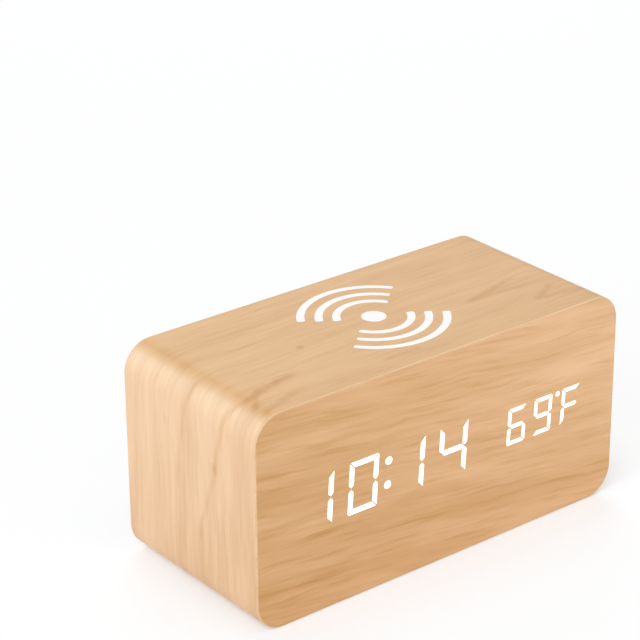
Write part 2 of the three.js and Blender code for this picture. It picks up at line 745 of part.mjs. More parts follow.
// Rear cover: rim, panel, skirt with snap hooks, battery tub, latch recess, bosses and every hole.
function rearCover(group) {
  const rimOutline = roundedRect(coverWidth, coverHeight, coverRadius);
  const rim = easedBlock(rimOutline, backY - 2 * rimRound, rimY, rimRound, 6);
  const below = block(-coverWidth, coverWidth, backY - coverWidth, backY, -coverWidth, coverWidth);
  const floorRecess = roundedRect(
    coverWidth - 2 * rimWidth,
    coverHeight - 2 * rimWidth,
    coverRadius - rimWidth,
  );
  const plugRadius = coverRadius - rimLap - coverGap;
  const plug = roundedRect(skirtWidth, skirtHeight, plugRadius);
  const plugInside = roundedRect(
    skirtWidth - 2 * skirtWall,
    skirtHeight - 2 * skirtWall,
    plugRadius - skirtWall,
  );
  const skirt = cut(slab(plug, skirtY, panelY, 4), slab(plugInside, skirtY - overcut, panelInnerY, 4));

  const hooks = [];
  const hookSlots = [];
  for (const x of [-hookSpread / 2, hookSpread / 2])
    for (const side of [-1, 1]) {
      const foot = (side * skirtHeight) / 2;
      const hookY = innerBackY - coverGap;
      const nose = new THREE.Shape([
        new THREE.Vector2(skirtY, foot - side * weld),
        new THREE.Vector2(hookY, foot + side * (hookReach + coverGap)),
        new THREE.Vector2(hookY, foot - side * weld),
      ]);
      hooks.push(sheet(nose, x - hookWidth / 2, x + hookWidth / 2));
      for (const edge of [-1, 1]) {
        const slotX = x + (edge * (hookWidth + hookSlot)) / 2;
        const slotZ = foot - (side * skirtWall) / 2;
        const slotHeight = skirtWall + 2 * weld;
        hookSlots.push(
          brick(slotX, slotZ, hookSlot, slotHeight, skirtY - overcut, skirtY + hookSlotDepth),
        );
      }
    }

  const bayX = (bayX0 + bayX1) / 2;
  const bayZ = bayHeight / 2;
  const tubLength = bayLength + 2 * bayWall;
  const tub = brick(bayX, 0, tubLength, bayHeight + 2 * bayWall, tubBottomY, panelInnerY + weld);
  const bay = brick(bayX, 0, bayLength, bayHeight, bayFloorY, panelY + overcut);
  const [pocketWidth, pocketHeight] = [doorX1 - doorX0 + 2 * doorGap, doorHeight + 2 * doorGap];
  const pocketOutline = roundedRect(pocketWidth, pocketHeight, doorRadius + doorGap, doorX, 0);
  const doorFrame = slab(pocketOutline, doorInnerY - ledgeThickness, panelY, 3);
  const doorPocket = slab(pocketOutline, doorInnerY, panelY + overcut, 3);
  const cradleTopY = bayFloorY + cradleHeight;
  const cradles = cells
    .slice(1)
    .map((z) => brick(bayX, z + cellPitch / 2, bayLength + weld, cradleWidth, bayFloorY - weld, cradleTopY));
  const contactRoom = [bayX0, bayX1 - 2 * contactSheet].map((x) =>
    block(x, x + 2 * contactSheet, bayFloorY, panelY, -bayZ, bayZ),
  );
  const tails = [cells[0], cells[cellCount - 1]].map((z) =>
    block(
      bayX1 - contactSheet - tailSlotGap,
      bayX1 + weld,
      tubBottomY - overcut,
      bayFloorY + overcut,
      z - tailWidth / 2 - tailSlotGap,
      z + tailWidth / 2 + tailSlotGap,
    ),
  );
  const tongueSlots = tongues.map((z) =>
    block(
      doorX0 - tongueLength - tongueGap,
      bayX0 + weld,
      doorInnerY - tongueDrop,
      doorInnerY + tongueThickness + tongueGap / 2,
      z - tongueWidth / 2 - tongueGap,
      z + tongueWidth / 2 + tongueGap,
    ),
  );

  const recessZ = recessHeight / 2;
  const recessBlock = block(
    bayX1,
    recessX1 + recessWall,
    panelY - recessDepth - recessWall,
    panelInnerY + weld,
    -recessZ - recessWall,
    recessZ + recessWall,
  );
  const recess = block(doorX1, recessX1, panelY - recessDepth, panelY + overcut, -recessZ, recessZ);
  const catchX = noseX + latchPlay;
  const catchY = panelY - latchNoseDepth + latchPlay;
  const [catchTopY, catchZ] = [catchY + catchThickness, catchHeight / 2];
  const catchLip = block(catchX, recessX1 + weld, catchY, catchTopY, -catchZ, catchZ);

  const posts = bosses.map(([x, z]) => rod(bossRadius, x, z, boardTopY, panelInnerY + weld, 12));
  const pilotTopY = boardTopY + screwGrip + pilotGap;
  const pilots = bosses.map(([x, z]) =>
    rod(screwRadius + pilotGap, x, z, boardTopY - overcut, pilotTopY, 10),
  );
  const [holeLowY, holeTopY] = [panelInnerY - overcut, panelY + overcut];
  const [wellWidth, wellHeight] = [buttonWidth + 2 * buttonGap, buttonHeight + 2 * buttonGap];
  const wells = buttons.map(([, x]) => {
    const outline = roundedRect(wellWidth, wellHeight, buttonRadius + buttonGap, x, buttonRow);
    return slab(outline, holeLowY, holeTopY, 3);
  });
  const holes = [
    rod(resetHoleRadius, resetX, resetRow, holeLowY, holeTopY, 14),
    rod(soundHoleRadius, soundX, soundRow, holeLowY, holeTopY, 14),
    rod(micHoleRadius, resetX, micRow, holeLowY, holeTopY, 14),
    rod(jackHoleRadius, jackX, jackRow, holeLowY, holeTopY, 24),
  ];
  const vents = [];
  const ventWidth = ventLong + ventRib + ventShort;
  for (let i = 0; i < ventSlots; i++) {
    const z = ventRow + (i - (ventSlots - 1) / 2) * ventPitch;
    const longX = ventX + (ventWidth - ventLong) / 2;
    const shortX = ventX - (ventWidth - ventShort) / 2;
    vents.push(brick(longX, z, ventLong, ventSlotHeight, holeLowY, holeTopY));
    vents.push(brick(shortX, z, ventShort, ventSlotHeight, holeLowY, holeTopY));
  }

  const flange = cut(rim, below, slab(floorRecess, panelY, rimY + overcut));
  const shell = cut(join(flange, skirt, ...hooks), ...hookSlots);
  const hollowed = cut(join(shell, tub, doorFrame, recessBlock, ...posts), bay, doorPocket, recess);
  const ribbed = cut(join(hollowed, ...cradles), ...contactRoom, ...tails, ...tongueSlots);
  const made = cut(join(ribbed, catchLip), ...pilots, ...wells, ...holes, ...vents);
  piece(group, "rear_cover", made, looks.blackPlastic);
}

// Battery door: a flush plate with two hinge tongues and its springy latch, moulded in one.
function batteryDoor(group) {
  const outline = roundedRect(doorX1 - doorX0, doorHeight, doorRadius, doorX, 0);
  const plate = slab(outline, doorInnerY, panelY, 4);
  const tongueTopY = doorInnerY + tongueThickness;
  const tongueX = doorX0 - tongueLength / 2 + weld;
  const hinge = tongues.map((z) =>
    brick(tongueX, z, tongueLength + 2 * weld, tongueWidth, doorInnerY, tongueTopY),
  );
  const latchZ = latchHeight / 2;
  const tab = block(doorX1 - weld, latchTabX, doorInnerY, panelY, -latchZ, latchZ);

  const lowY = panelY - latchDepth;
  const barTopY = panelY - latchBarDrop;
  const innerBend = latchBend - latchStrip;
  const strip = new THREE.Shape();
  strip.moveTo(latchTabX - latchStrip, doorInnerY + weld);
  strip.lineTo(latchTabX - latchStrip, lowY + latchBend);
  strip.absarc(latchTabX - latchStrip + latchBend, lowY + latchBend, latchBend, Math.PI, 1.5 * Math.PI);
  strip.absarc(latchBarX - latchBend, lowY + latchBend, latchBend, 1.5 * Math.PI, 2 * Math.PI);
  strip.lineTo(latchBarX, barTopY);
  strip.lineTo(latchBarX - latchStrip, barTopY);
  strip.lineTo(latchBarX - latchStrip, lowY + latchBend);
  strip.absarc(latchBarX - latchBend, lowY + latchBend, innerBend, 0, -Math.PI / 2, true);
  strip.absarc(latchTabX - latchStrip + latchBend, lowY + latchBend, innerBend, 1.5 * Math.PI, Math.PI, true);
  strip.lineTo(latchTabX, doorInnerY + weld);
  const latch = tile(strip, -latchZ, latchZ, 4);

  const returnX = latchBarX - latchStrip - latchReturn / 2 + weld / 2;
  const returns = [-1, 1].map((side) => {
    const z = side * (latchZ - latchReturnHeight / 2);
    return brick(returnX, z, latchReturn + weld, latchReturnHeight, barTopY - latchReturnDepth, barTopY);
  });
  const noseY = panelY - latchNoseDepth;
  const nose = new THREE.Shape([
    new THREE.Vector2(latchBarX - weld, noseY),
    new THREE.Vector2(latchBarX - weld, noseY - latchNoseThickness),
    new THREE.Vector2(noseX, noseY),
  ]);
  const hook = tile(nose, -catchHeight / 2, catchHeight / 2);
  const door = join(plate, ...hinge, tab, latch, ...returns, hook);
  piece(group, "battery_door", door, looks.blackPlastic);
}

// Battery contacts: stamped plates at the ends of the bay, and a coil spring at each cell's flat end.
function batteryContacts(group) {
  const cellY = bayFloorY + cellDiameter / 2 + bayClearance / 2;
  const low = bayFloorY;
  const high = bayFloorY + contactHeight;
  const springs = [];

  // One plate over a run of cells; end is -1 at the bay's low X end and +1 at its high one.
  const plate = (end, first, last, tail) => {
    const x0 = end < 0 ? bayX0 : bayX1 - contactSheet;
    const [z0, z1] = [cells[last] - contactWidth / 2, cells[first] + contactWidth / 2];
    const middleY = (low + high) / 2;
    const outline = roundedRect(high - low, z1 - z0, contactCorner, middleY, (z0 + z1) / 2);
    const parts = [sheet(outline, x0, x0 + contactSheet, 2)];
    for (let i = first; i <= last; i++) {
      const positive = (i % 2 === 0) === end > 0;
      const face = end < 0 ? x0 + contactSheet : x0;
      if (!positive) {
        springs.push([face, -end, cells[i]]);
        continue;
      }
      const cone = [[0, -weld], [nubRadius, -weld], [nubTipRadius, nubHeight], [0, nubHeight]];
      parts.push(turnedAlong(cone, [face, cellY, cells[i]], new THREE.Vector3(-end, 0, 0), 12));
    }
    if (tail) {
      const [tailX, tailY] = [x0 + contactSheet / 2, tubBottomY - contactTail];
      parts.push(brick(tailX, cells[first], contactSheet, tailWidth, tailY, low + overcut));
    }
    return join(...parts);
  };

  const lastCell = cellCount - 1;
  let bridge = 0;
  for (let i = 0; i < lastCell; i += 2)
    piece(group, `contact_bridge_${++bridge}`, plate(-1, i, i + 1, false), looks.steel);
  for (let i = 1; i < lastCell; i += 2)
    piece(group, `contact_bridge_${++bridge}`, plate(1, i, i + 1, false), looks.steel);
  piece(group, "contact_positive", plate(1, 0, 0, true), looks.steel);
  piece(group, "contact_negative", plate(1, lastCell, lastCell, true), looks.steel);

  springs.forEach(([face, into, z], n) => {
    const points = [];
    for (let i = 0; i <= springTurns * springSteps; i++) {
      const angle = (2 * Math.PI * i) / springSteps;
      const x = face + into * (solderGap + springWireRadius + (springPitch * i) / springSteps);
      const [across, up] = [springRadius * Math.cos(angle), springRadius * Math.sin(angle)];
      points.push(new THREE.Vector3(x, cellY + across, z + up));
    }
    const name = `contact_spring_${n + 1}`;
    const gap = leastGap(points, springWireRadius, springSteps);
    console.log(name, "least gap", gap.toFixed(2), "mm");
    piece(group, name, tubeAlong(points, springWireRadius, springSides), looks.spring);
  });
}

// Push buttons, each a cap held by its lip under the panel, on the plunger of a switch.
function pushButtons(group) {
  const capTopY = panelY - buttonSink;
  const capLowY = panelInnerY - buttonLipThickness;
  const switchTopY = boardTopY + switchHeight;
  const seatY = switchTopY - plungerSeat - buttonTravel;
  const [lipWidth, lipHeight] = [buttonWidth + 2 * buttonLip, buttonHeight + 2 * buttonLip];
  buttons.forEach(([name, x]) => {
    const lip = roundedRect(lipWidth, lipHeight, buttonRadius, x, buttonRow);
    const top = roundedRect(buttonWidth, buttonHeight, buttonRadius, x, buttonRow);
    const cap = join(slab(lip, capLowY, panelInnerY, 3), slab(top, capLowY, capTopY, 3));
    piece(group, `${name}_button`, cap, looks.blackPlastic);
    const body = brick(x, buttonRow, switchSize, switchSize, boardTopY, switchTopY);
    const well = rod(plungerRadius + plungerGap, x, buttonRow, seatY - plungerGap, switchTopY + overcut);
    piece(group, `${name}_switch`, cut(body, well), looks.darkPart);
    const plunger = rod(plungerRadius, x, buttonRow, seatY + buttonTravel, capLowY);
    piece(group, `${name}_plunger`, plunger, looks.darkPart);
  });

  const resetSeatY = switchTopY - plungerSeat - resetTravel;
  const resetBody = brick(resetX, resetRow, resetSwitchSize, resetSwitchSize, boardTopY, switchTopY);
  const resetWellRadius = resetPlungerRadius + plungerGap;
  const resetWellY = resetSeatY - plungerGap;
  const resetWell = rod(resetWellRadius, resetX, resetRow, resetWellY, switchTopY + overcut, 12);
  piece(group, "reset_switch", cut(resetBody, resetWell), looks.darkPart);
  const resetFootY = resetSeatY + resetTravel;
  const resetTopY = switchTopY + resetReach;
  const resetPlunger = rod(resetPlungerRadius, resetX, resetRow, resetFootY, resetTopY, 12);
  piece(group, "reset_plunger", resetPlunger, looks.darkPart);
}

// Socket, sounder, microphone and temperature bead, standing on the control board.
function boardParts(group) {
  const boreY = boardTopY + jackFloor;
  const jackBody = brick(jackX, jackRow, jackSize, jackSize, boardTopY, panelInnerY);
  const jack = cut(jackBody, rod(jackBoreRadius, jackX, jackRow, boreY, panelInnerY + overcut, 24));
  piece(group, "dc_jack", jack, looks.darkPart);
  const pinTip = jackPinRadius / 2;
  const pin = [
    [0, boreY],
    [jackPinRadius, boreY],
    [jackPinRadius, boreY + jackPinLength - pinTip],
    [pinTip, boreY + jackPinLength],
    [0, boreY + jackPinLength],
  ];
  piece(group, "dc_jack_pin", turned(pin, jackX, jackRow, 12), looks.steel);

  const buzzerTopY = boardTopY + buzzerHeight;
  const buzzer = [
    [0, boardTopY],
    [buzzerRadius, boardTopY],
    [buzzerRadius, buzzerTopY - buzzerEase],
    [buzzerRadius - buzzerEase, buzzerTopY],
    [soundHoleRadius, buzzerTopY],
    [soundHoleRadius, buzzerTopY - buzzerWell],
    [0, buzzerTopY - buzzerWell],
  ];
  piece(group, "buzzer", turned(buzzer, soundX, soundRow, 20), looks.darkPart);

  const micTopY = boardTopY + micHeight;
  const mic = [
    [0, boardTopY],
    [micRadius, boardTopY],
    [micRadius, micTopY],
    [micRadius - micRimWidth, micTopY],
    [micRadius - micRimWidth, micTopY - micRimDepth],
    [0, micTopY - micRimDepth],
  ];
  piece(group, "microphone", turned(mic, resetX, micRow, 16), looks.steel);

  const beadY = panelInnerY - beadDrop - beadRadius;
  const bead = solid(new THREE.SphereGeometry(beadRadius, 10, 8).translate(ventX, beadY, ventRow));
  const legs = [-beadLeadSpread / 2, beadLeadSpread / 2].map((side) =>
    brick(ventX + side, ventRow, beadLead, beadLead, boardTopY, beadY),
  );
  piece(group, "temperature_sensor", join(bead, ...legs), looks.darkPart);

  const sticker = new THREE.Shape().absarc(stickerX, stickerRow, stickerRadius, 0, 2 * Math.PI);
  piece(group, "round_sticker", slab(sticker, panelY, panelY + stickerThickness, 12), looks.redFilm);
}

// Control board on its four bosses, with its screws.
function controlBoard(group) {
  const outline = roundedRect(boardX1 - boardX0, boardHeight, boardCorner, boardX, 0);
  const plate = drilled(slab(outline, boardBottomY, boardTopY, 3), bosses, boardBottomY, boardTopY);
  const chipLowY = boardBottomY - chipHeight;
  const chip = brick(boardX, -chipDrop, chipSize, chipSize, chipLowY, boardBottomY + weld);
  piece(group, "control_board", join(plate, chip), looks.greenBoard);
  bosses.forEach(([x, z], i) => {
    const seated = screw([x, boardBottomY, z], backward, boardThickness + screwGrip);
    piece(group, `board_screw_${i + 1}`, seated, looks.steel);
  });
}

// Wiring: a ribbon from the display, a lead up to the charger and two leads from the battery tails.
function wiring() {
  const startY = displayBackY + solderGap;
  const endY = boardBottomY - solderGap;
  const span = endY - startY;
  const middle = new THREE.CubicBezierCurve(
    new THREE.Vector2(startY, displayZ),
    new THREE.Vector2(startY + span / 2, displayZ),
    new THREE.Vector2(startY + span / 2, coverZ - ribbonSag),
    new THREE.Vector2(endY, coverZ - ribbonSag),
  ).getPoints(16);
  const edge = (offset) =>
    middle.map((point, i) => {
      const square = i === 0 || i === middle.length - 1;
      const along = square
        ? new THREE.Vector2(1, 0)
        : middle[i + 1].clone().sub(middle[i - 1]).normalize();
      return new THREE.Vector2(point.x - offset * along.y, point.y + offset * along.x);
    });
  const [low, high] = [edge(-ribbonThickness / 2), edge(ribbonThickness / 2)];
  const outline = new THREE.Shape([...low, ...high.reverse()]);
  const ribbon = sheet(outline, boardX - ribbonWidth / 2, boardX + ribbonWidth / 2);
  piece(clock, "display_ribbon", ribbon, looks.greyLead);

  const leadX = chargerBoardWidth / 2 - leadInset;
  const leadTopZ = ceilingZ - boardThickness - solderGap;
  const leadEndY = chargerY + leadDepth;
  const leadStartZ = coverZ + leadRise;
  const lead = smoothRun(
    [
      [leadX, boardBottomY - solderGap, leadStartZ],
      [leadX, boardBottomY - leadBend, leadStartZ],
      [leadX, leadEndY, leadTopZ - leadBend],
      [leadX, leadEndY, leadTopZ],
    ],
    16,
  );
  piece(clock, "charger_lead", tubeAlong(lead, leadRadius, 8), looks.greyLead);

  const tailX = bayX1 + solderGap + batteryLeadRadius;
  const tailY = tubBottomY - contactTail / 2;
  const boardEdgeX = boardX0 + batteryLeadReach;
  const leads = [
    ["positive", cells[0], looks.redLead],
    ["negative", cells[cellCount - 1], looks.darkPart],
  ];
  leads.forEach(([name, z, look]) => {
    const leadZ = coverZ + z;
    const run = smoothRun(
      [
        [tailX - batteryLeadRadius, tailY, leadZ],
        [tailX + 2 * batteryLeadRadius, tailY, leadZ],
        [boardEdgeX, boardBottomY - batteryLeadBend, leadZ],
        [boardEdgeX, boardBottomY - solderGap, leadZ],
      ],
      14,
    );
    piece(clock, `battery_lead_${name}`, tubeAlong(run, batteryLeadRadius, 8), look);
  });
}

woodCase();
displayModule();
chargerModule();
const cover = groupAt(0, coverZ);
rearCover(cover);
batteryDoor(cover);
batteryContacts(cover);
controlBoard(cover);
pushButtons(cover);
boardParts(cover);
wiring();

export default clock;
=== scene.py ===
import math

import bmesh
import bpy
from mathutils import Matrix, Vector


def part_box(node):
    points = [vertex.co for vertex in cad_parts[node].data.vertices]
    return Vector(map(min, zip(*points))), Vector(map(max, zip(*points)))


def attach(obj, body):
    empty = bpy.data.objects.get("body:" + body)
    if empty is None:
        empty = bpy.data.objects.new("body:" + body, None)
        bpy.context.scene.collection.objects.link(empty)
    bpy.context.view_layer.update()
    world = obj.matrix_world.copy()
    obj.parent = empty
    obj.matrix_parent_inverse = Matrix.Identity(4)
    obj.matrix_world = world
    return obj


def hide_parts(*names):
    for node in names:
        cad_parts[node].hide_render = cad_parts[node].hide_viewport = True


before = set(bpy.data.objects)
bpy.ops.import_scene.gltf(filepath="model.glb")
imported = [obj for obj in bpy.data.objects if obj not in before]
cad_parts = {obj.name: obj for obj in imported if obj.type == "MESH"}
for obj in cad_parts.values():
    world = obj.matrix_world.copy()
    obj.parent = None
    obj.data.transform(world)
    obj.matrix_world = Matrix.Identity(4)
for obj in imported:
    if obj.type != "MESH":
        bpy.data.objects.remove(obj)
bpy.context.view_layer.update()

# Studio: a pale floor under soft white light, with the clock seen from the front, the left and above.
# A long lens looks down on it from where the photograph was taken, with a slight roll.
scene = bpy.context.scene
scene.view_settings.view_transform = "Standard"


def place_camera(position, azimuth, elevation, roll, lens):
    """Aims a camera: azimuth 0 looks along +Y, and a negative one looks from the left."""
    level = math.cos(elevation)
    ahead = Vector((-math.sin(azimuth) * level, math.cos(azimuth) * level, -math.sin(elevation)))
    right = ahead.cross(Vector((0, 0, 1))).normalized()
    up = right.cross(ahead)
    across = right * math.cos(roll) + up * math.sin(roll)
    upright = up * math.cos(roll) - right * math.sin(roll)
    turn = Matrix((across, upright, -ahead)).transposed()
    data = bpy.data.cameras.new("camera")
    data.sensor_width = 36
    data.lens = lens
    camera = bpy.data.objects.new("camera", data)
    camera.matrix_world = Matrix.Translation(position) @ turn.to_4x4()
    scene.collection.objects.link(camera)
    scene.camera = camera


place_camera(
    position=Vector((-0.45992, -0.55178, 0.39993)),
    azimuth=math.radians(-38.414),
    elevation=math.radians(24.491),
    roll=math.radians(-0.385),
    lens=138.0,
)


def wire(tree, node, wires):
    """Feeds the sockets of a node, each with a value or with another node's output."""
    for key, value in wires.items():
        if isinstance(value, bpy.types.NodeSocket):
            tree.links.new(value, node.inputs[key])
        else:
            node.inputs[key].default_value = value


def add_node(tree, kind, wires=None, **settings):
    node = tree.nodes.new(kind)
    for key, value in settings.items():
        setattr(node, key, value)
    wire(tree, node, wires or {})
    return node


def result(tree, kind, wires=None, **settings):
    """The first output of a new node."""
    return add_node(tree, kind, wires, **settings).outputs[0]


def calc(tree, operation, a, b=0.0, c=0.0):
    return result(tree, "ShaderNodeMath", {0: a, 1: b, 2: c}, operation=operation)


def seen_directly(tree):
    """1 for rays from the camera, a mirror or glass, and 0 for light that falls on things."""
    path = add_node(tree, "ShaderNodeLightPath").outputs
    gloss = calc(tree, "MAXIMUM", path["Is Glossy Ray"], path["Is Transmission Ray"])
    return calc(tree, "MAXIMUM", path["Is Camera Ray"], gloss)


def studio_world(ambient, backdrop):
    world = bpy.data.worlds.new("studio")
    scene.world = world
    world.use_nodes = True
    tree = world.node_tree
    tree.nodes.clear()
    light = result(tree, "ShaderNodeBackground", {"Color": (1, 1, 1, 1), "Strength": ambient})
    shown = result(tree, "ShaderNodeBackground", {"Color": backdrop, "Strength": 1})
    mix = result(tree, "ShaderNodeMixShader", {0: seen_directly(tree), 1: light, 2: shown})
    add_node(tree, "ShaderNodeOutputWorld", {"Surface": mix})


studio_world(ambient=0.5, backdrop=(1, 0.99, 0.985, 1))


def studio_floor(half, drop, colour, shown, glow, base, reach, near, far):
    """A flat pale floor, shown a little whiter than it lights the clock, and more even far from it."""
    mesh = bpy.data.meshes.new("floor")
    corners = [(x * half, y * half, -drop) for x, y in ((-1, -1), (1, -1), (1, 1), (-1, 1))]
    mesh.from_pydata(corners, [], [(0, 1, 2, 3)])
    floor = bpy.data.objects.new("floor", mesh)
    scene.collection.objects.link(floor)
    material = bpy.data.materials.new("floor")
    material.use_nodes = True
    tree = material.node_tree
    tree.nodes.clear()
    seen = seen_directly(tree)
    wires = {0: seen, 6: colour, 7: shown}
    tone = add_node(tree, "ShaderNodeMix", wires, data_type="RGBA").outputs[2]
    lit = result(tree, "ShaderNodeBsdfDiffuse", {"Color": tone})
    even = result(tree, "ShaderNodeEmission", {"Color": glow, "Strength": 1})
    place = add_node(tree, "ShaderNodeTexCoord").outputs["Object"]
    for operation, amount in (("ABSOLUTE", (0, 0, 0)), ("SUBTRACT", base), ("MAXIMUM", (0, 0, 0))):
        wires = {0: place, 1: amount}
        place = result(tree, "ShaderNodeVectorMath", wires, operation=operation)
    away = add_node(tree, "ShaderNodeVectorMath", {0: place}, operation="LENGTH").outputs["Value"]
    wires = {"Value": away, "From Max": reach, "To Min": near, "To Max": far}
    share = result(tree, "ShaderNodeMapRange", wires, interpolation_type="SMOOTHSTEP")
    part = calc(tree, "MULTIPLY", seen, share)
    mix = result(tree, "ShaderNodeMixShader", {0: part, 1: lit, 2: even})
    add_node(tree, "ShaderNodeOutputMaterial", {"Surface": mix})
    mesh.materials.append(material)


studio_floor(
    half=3,
    drop=0.0001,
    colour=(0.95, 0.93, 0.93, 1),
    shown=(1.025, 1.08, 1.14, 1),
    glow=(1, 0.995, 0.99, 1),
    base=(0.065, 0.0335, 1),
    reach=0.045,
    near=0.25,
    far=0.85,
)


def soft_light(name, place, size, power):
    """A square softbox that faces the middle of the clock."""
    data = bpy.data.lights.new(name, "AREA")
    data.size = size
    data.energy = power
    lamp = bpy.data.objects.new(name, data)
    clock_middle = Vector((0, 0, 0.04))
    aim = clock_middle - Vector(place)
    turn = aim.to_track_quat("-Z", "Y").to_matrix()
    lamp.matrix_world = Matrix.Translation(place) @ turn.to_4x4()
    scene.collection.objects.link(lamp)


soft_light("key", place=(-0.95, -0.4, 0.8), size=0.8, power=9.0)
soft_light("back", place=(0.7, 0.95, 0.75), size=0.8, power=4.5)
soft_light("fill", place=(0.46, -0.6, 0.3), size=0.5, power=0.9)

# Wood case: a sleeve of fibreboard with rounded long edges, and a board glued into each end.
# Thin printed maple veneer wraps it: a sheet over the top, one up each side, and one on the back.


def new_group(name, numbers, colours=(), results=(), shades=()):
    """A shader group with number and colour inputs, and number and colour outputs."""
    tree = bpy.data.node_groups.new(name, "ShaderNodeTree")
    kinds = ((numbers, "INPUT", "Float"), (colours, "INPUT", "Color"))
    kinds += ((shades, "OUTPUT", "Color"), (results, "OUTPUT", "Float"))
    for keys, side, kind in kinds:
        for key in keys:
            tree.interface.new_socket(key, in_out=side, socket_type="NodeSocket" + kind)
    return tree, add_node(tree, "NodeGroupInput").outputs


def vector(tree, x, y, z):
    return result(tree, "ShaderNodeCombineXYZ", {0: x, 1: y, 2: z})


def noise(tree, place, stretch, detail, roughness=0.5):
    """Cloudy noise with one number of blobs per unit, or its own number along each axis."""
    stretch = stretch if isinstance(stretch, tuple) else (stretch,) * 3
    spread = result(tree, "ShaderNodeVectorMath", {0: place, 1: stretch}, operation="MULTIPLY")
    wires = {"Vector": spread, "Scale": 1, "Detail": detail, "Roughness": roughness}
    return result(tree, "ShaderNodeTexNoise", wires)


def ramp(tree, value, low, high):
    """0 at or below the low value, 1 at or above the high one, and smooth between."""
    wires = {"Value": value, "From Min": low, "From Max": high}
    return result(tree, "ShaderNodeMapRange", wires, interpolation_type="SMOOTHSTEP")


def blend(tree, share, first, second, clamp=True):
    wires = {0: share, 6: first, 7: second}
    return add_node(tree, "ShaderNodeMix", wires, data_type="RGBA", clamp_factor=clamp).outputs[2]


to_mm = 1000


def maple_grain_group():
    """Maple grain along one axis: broad bands, ripples, narrow streaks, fine fibres and flecks, on a
    painted gradient of light and shade.
    """
    numbers = ("Along", "Across", "Seed", "Sway", "Ripples", "Streaks", "Painted Light", "Marks")
    tree, given = new_group(
        "maple_grain", numbers, ("Light", "Dark"), ("Roughness", "Height"), ("Color",)
    )
    along = calc(tree, "MULTIPLY", given["Along"], to_mm)
    across = calc(tree, "MULTIPLY", given["Across"], to_mm)
    flat = vector(tree, along, across, given["Seed"])
    slow = calc(tree, "SUBTRACT", noise(tree, flat, (0.016, 0.045, 1), 1), 0.5)
    quick = calc(tree, "SUBTRACT", noise(tree, flat, (0.07, 0.16, 1), 1), 0.5)
    bent = calc(tree, "MULTIPLY_ADD", slow, given["Sway"], across)
    bent = calc(tree, "MULTIPLY_ADD", quick, 1.6, bent)
    sheet = vector(tree, along, bent, given["Seed"])

    bands = ramp(tree, noise(tree, sheet, (0.006, 0.085, 1.3), 2), 0.25, 0.75)
    ripples = ramp(tree, noise(tree, sheet, (0.024, 0.2, 1.5), 2), 0.28, 0.72)
    streaks = ramp(tree, noise(tree, sheet, (0.034, 0.55, 1.7), 4, 0.6), 0.46, 0.76)
    fibres = noise(tree, sheet, (0.09, 3.2, 2.1), 3)
    flecks = ramp(tree, noise(tree, sheet, (0.19, 2.1, 2.9), 1), 0.66, 0.82)

    fine = calc(tree, "SUBTRACT", fibres, 0.5)
    # The tone starts from a painted gradient of light and shade across the sheet.
    tone = given["Painted Light"]
    shares = [(bands, 0.22), (ripples, given["Ripples"]), (streaks, given["Streaks"])]
    for part, share in shares + [(fine, 0.55), (flecks, 0.18)]:
        tone = calc(tree, "MULTIPLY_ADD", part, share, tone)
    colour = blend(tree, tone, given["Light"], given["Dark"], clamp=False)
    mark_tint = (0.82, 0.7, 0.54, 1)
    wires = {0: given["Marks"], 6: colour, 7: mark_tint}
    stain = add_node(tree, "ShaderNodeMix", wires, data_type="RGBA", blend_type="MULTIPLY")
    rough = calc(tree, "MULTIPLY_ADD", fibres, 0.16, 0.4)
    height = calc(tree, "MULTIPLY_ADD", flecks, -0.6, fibres)
    wires = {"Color": stain.outputs[2], "Roughness": rough, "Height": height}
    add_node(tree, "NodeGroupOutput", wires)
    return tree


maple_grain = maple_grain_group()


def grain_line_group():
    """A dark growth line that bends from one place across the grain to another, and fades at its ends."""
    numbers = ("Along", "Across", "Start", "End", "From", "To", "Width", "Depth")
    tree, given = new_group("grain_line", numbers, results=("Mark",))
    gone = calc(tree, "SUBTRACT", given["Along"], given["Start"])
    share = calc(tree, "DIVIDE", gone, calc(tree, "SUBTRACT", given["End"], given["Start"]))
    reach = calc(tree, "SUBTRACT", given["To"], given["From"])
    middle = calc(tree, "MULTIPLY", reach, ramp(tree, share, 0, 1))
    place = vector(tree, given["Along"], given["From"], given["To"])
    wander = calc(tree, "SUBTRACT", noise(tree, place, (110, 700, 700), 1), 0.5)
    middle = calc(tree, "MULTIPLY_ADD", wander, 0.002, middle)
    aside = calc(tree, "SUBTRACT", calc(tree, "SUBTRACT", given["Across"], given["From"]), middle)
    line = ramp(tree, calc(tree, "ABSOLUTE", aside), given["Width"], 0)
    ends = calc(tree, "MULTIPLY", ramp(tree, share, 0, 0.2), ramp(tree, share, 1, 0.8))
    uneven = calc(tree, "ADD", noise(tree, place, (420, 900, 900), 1), 0.4)
    mark = calc(tree, "MULTIPLY", calc(tree, "MULTIPLY", line, ends), uneven)
    add_node(tree, "NodeGroupOutput", {"Mark": calc(tree, "MULTIPLY", mark, given["Depth"])})
    return tree


grain_line = grain_line_group()


def grain_mark_group():
    """A small dark knot in the grain, with a ragged edge."""
    numbers = ("Along", "Across", "Mark Along", "Mark Across", "Length", "Width", "Depth")
    tree, given = new_group("grain_mark", numbers, results=("Mark",))
    away = calc(tree, "SUBTRACT", given["Along"], given["Mark Along"])
    aside = calc(tree, "SUBTRACT", given["Across"], given["Mark Across"])
    x = calc(tree, "DIVIDE", away, given["Length"])
    y = calc(tree, "DIVIDE", aside, given["Width"])
    place = vector(tree, x, y, 0)
    ragged = calc(tree, "SUBTRACT", noise(tree, place, 1.4, 2), 0.5)
    far = add_node(tree, "ShaderNodeVectorMath", {0: place}, operation="LENGTH").outputs["Value"]
    edge = calc(tree, "MULTIPLY_ADD", ragged, 1.1, far)
    mask = ramp(tree, calc(tree, "SUBTRACT", 1, edge), 0, 0.9)
    add_node(tree, "NodeGroupOutput", {"Mark": calc(tree, "MULTIPLY", mask, given["Depth"])})
    return tree


grain_mark = grain_mark_group()


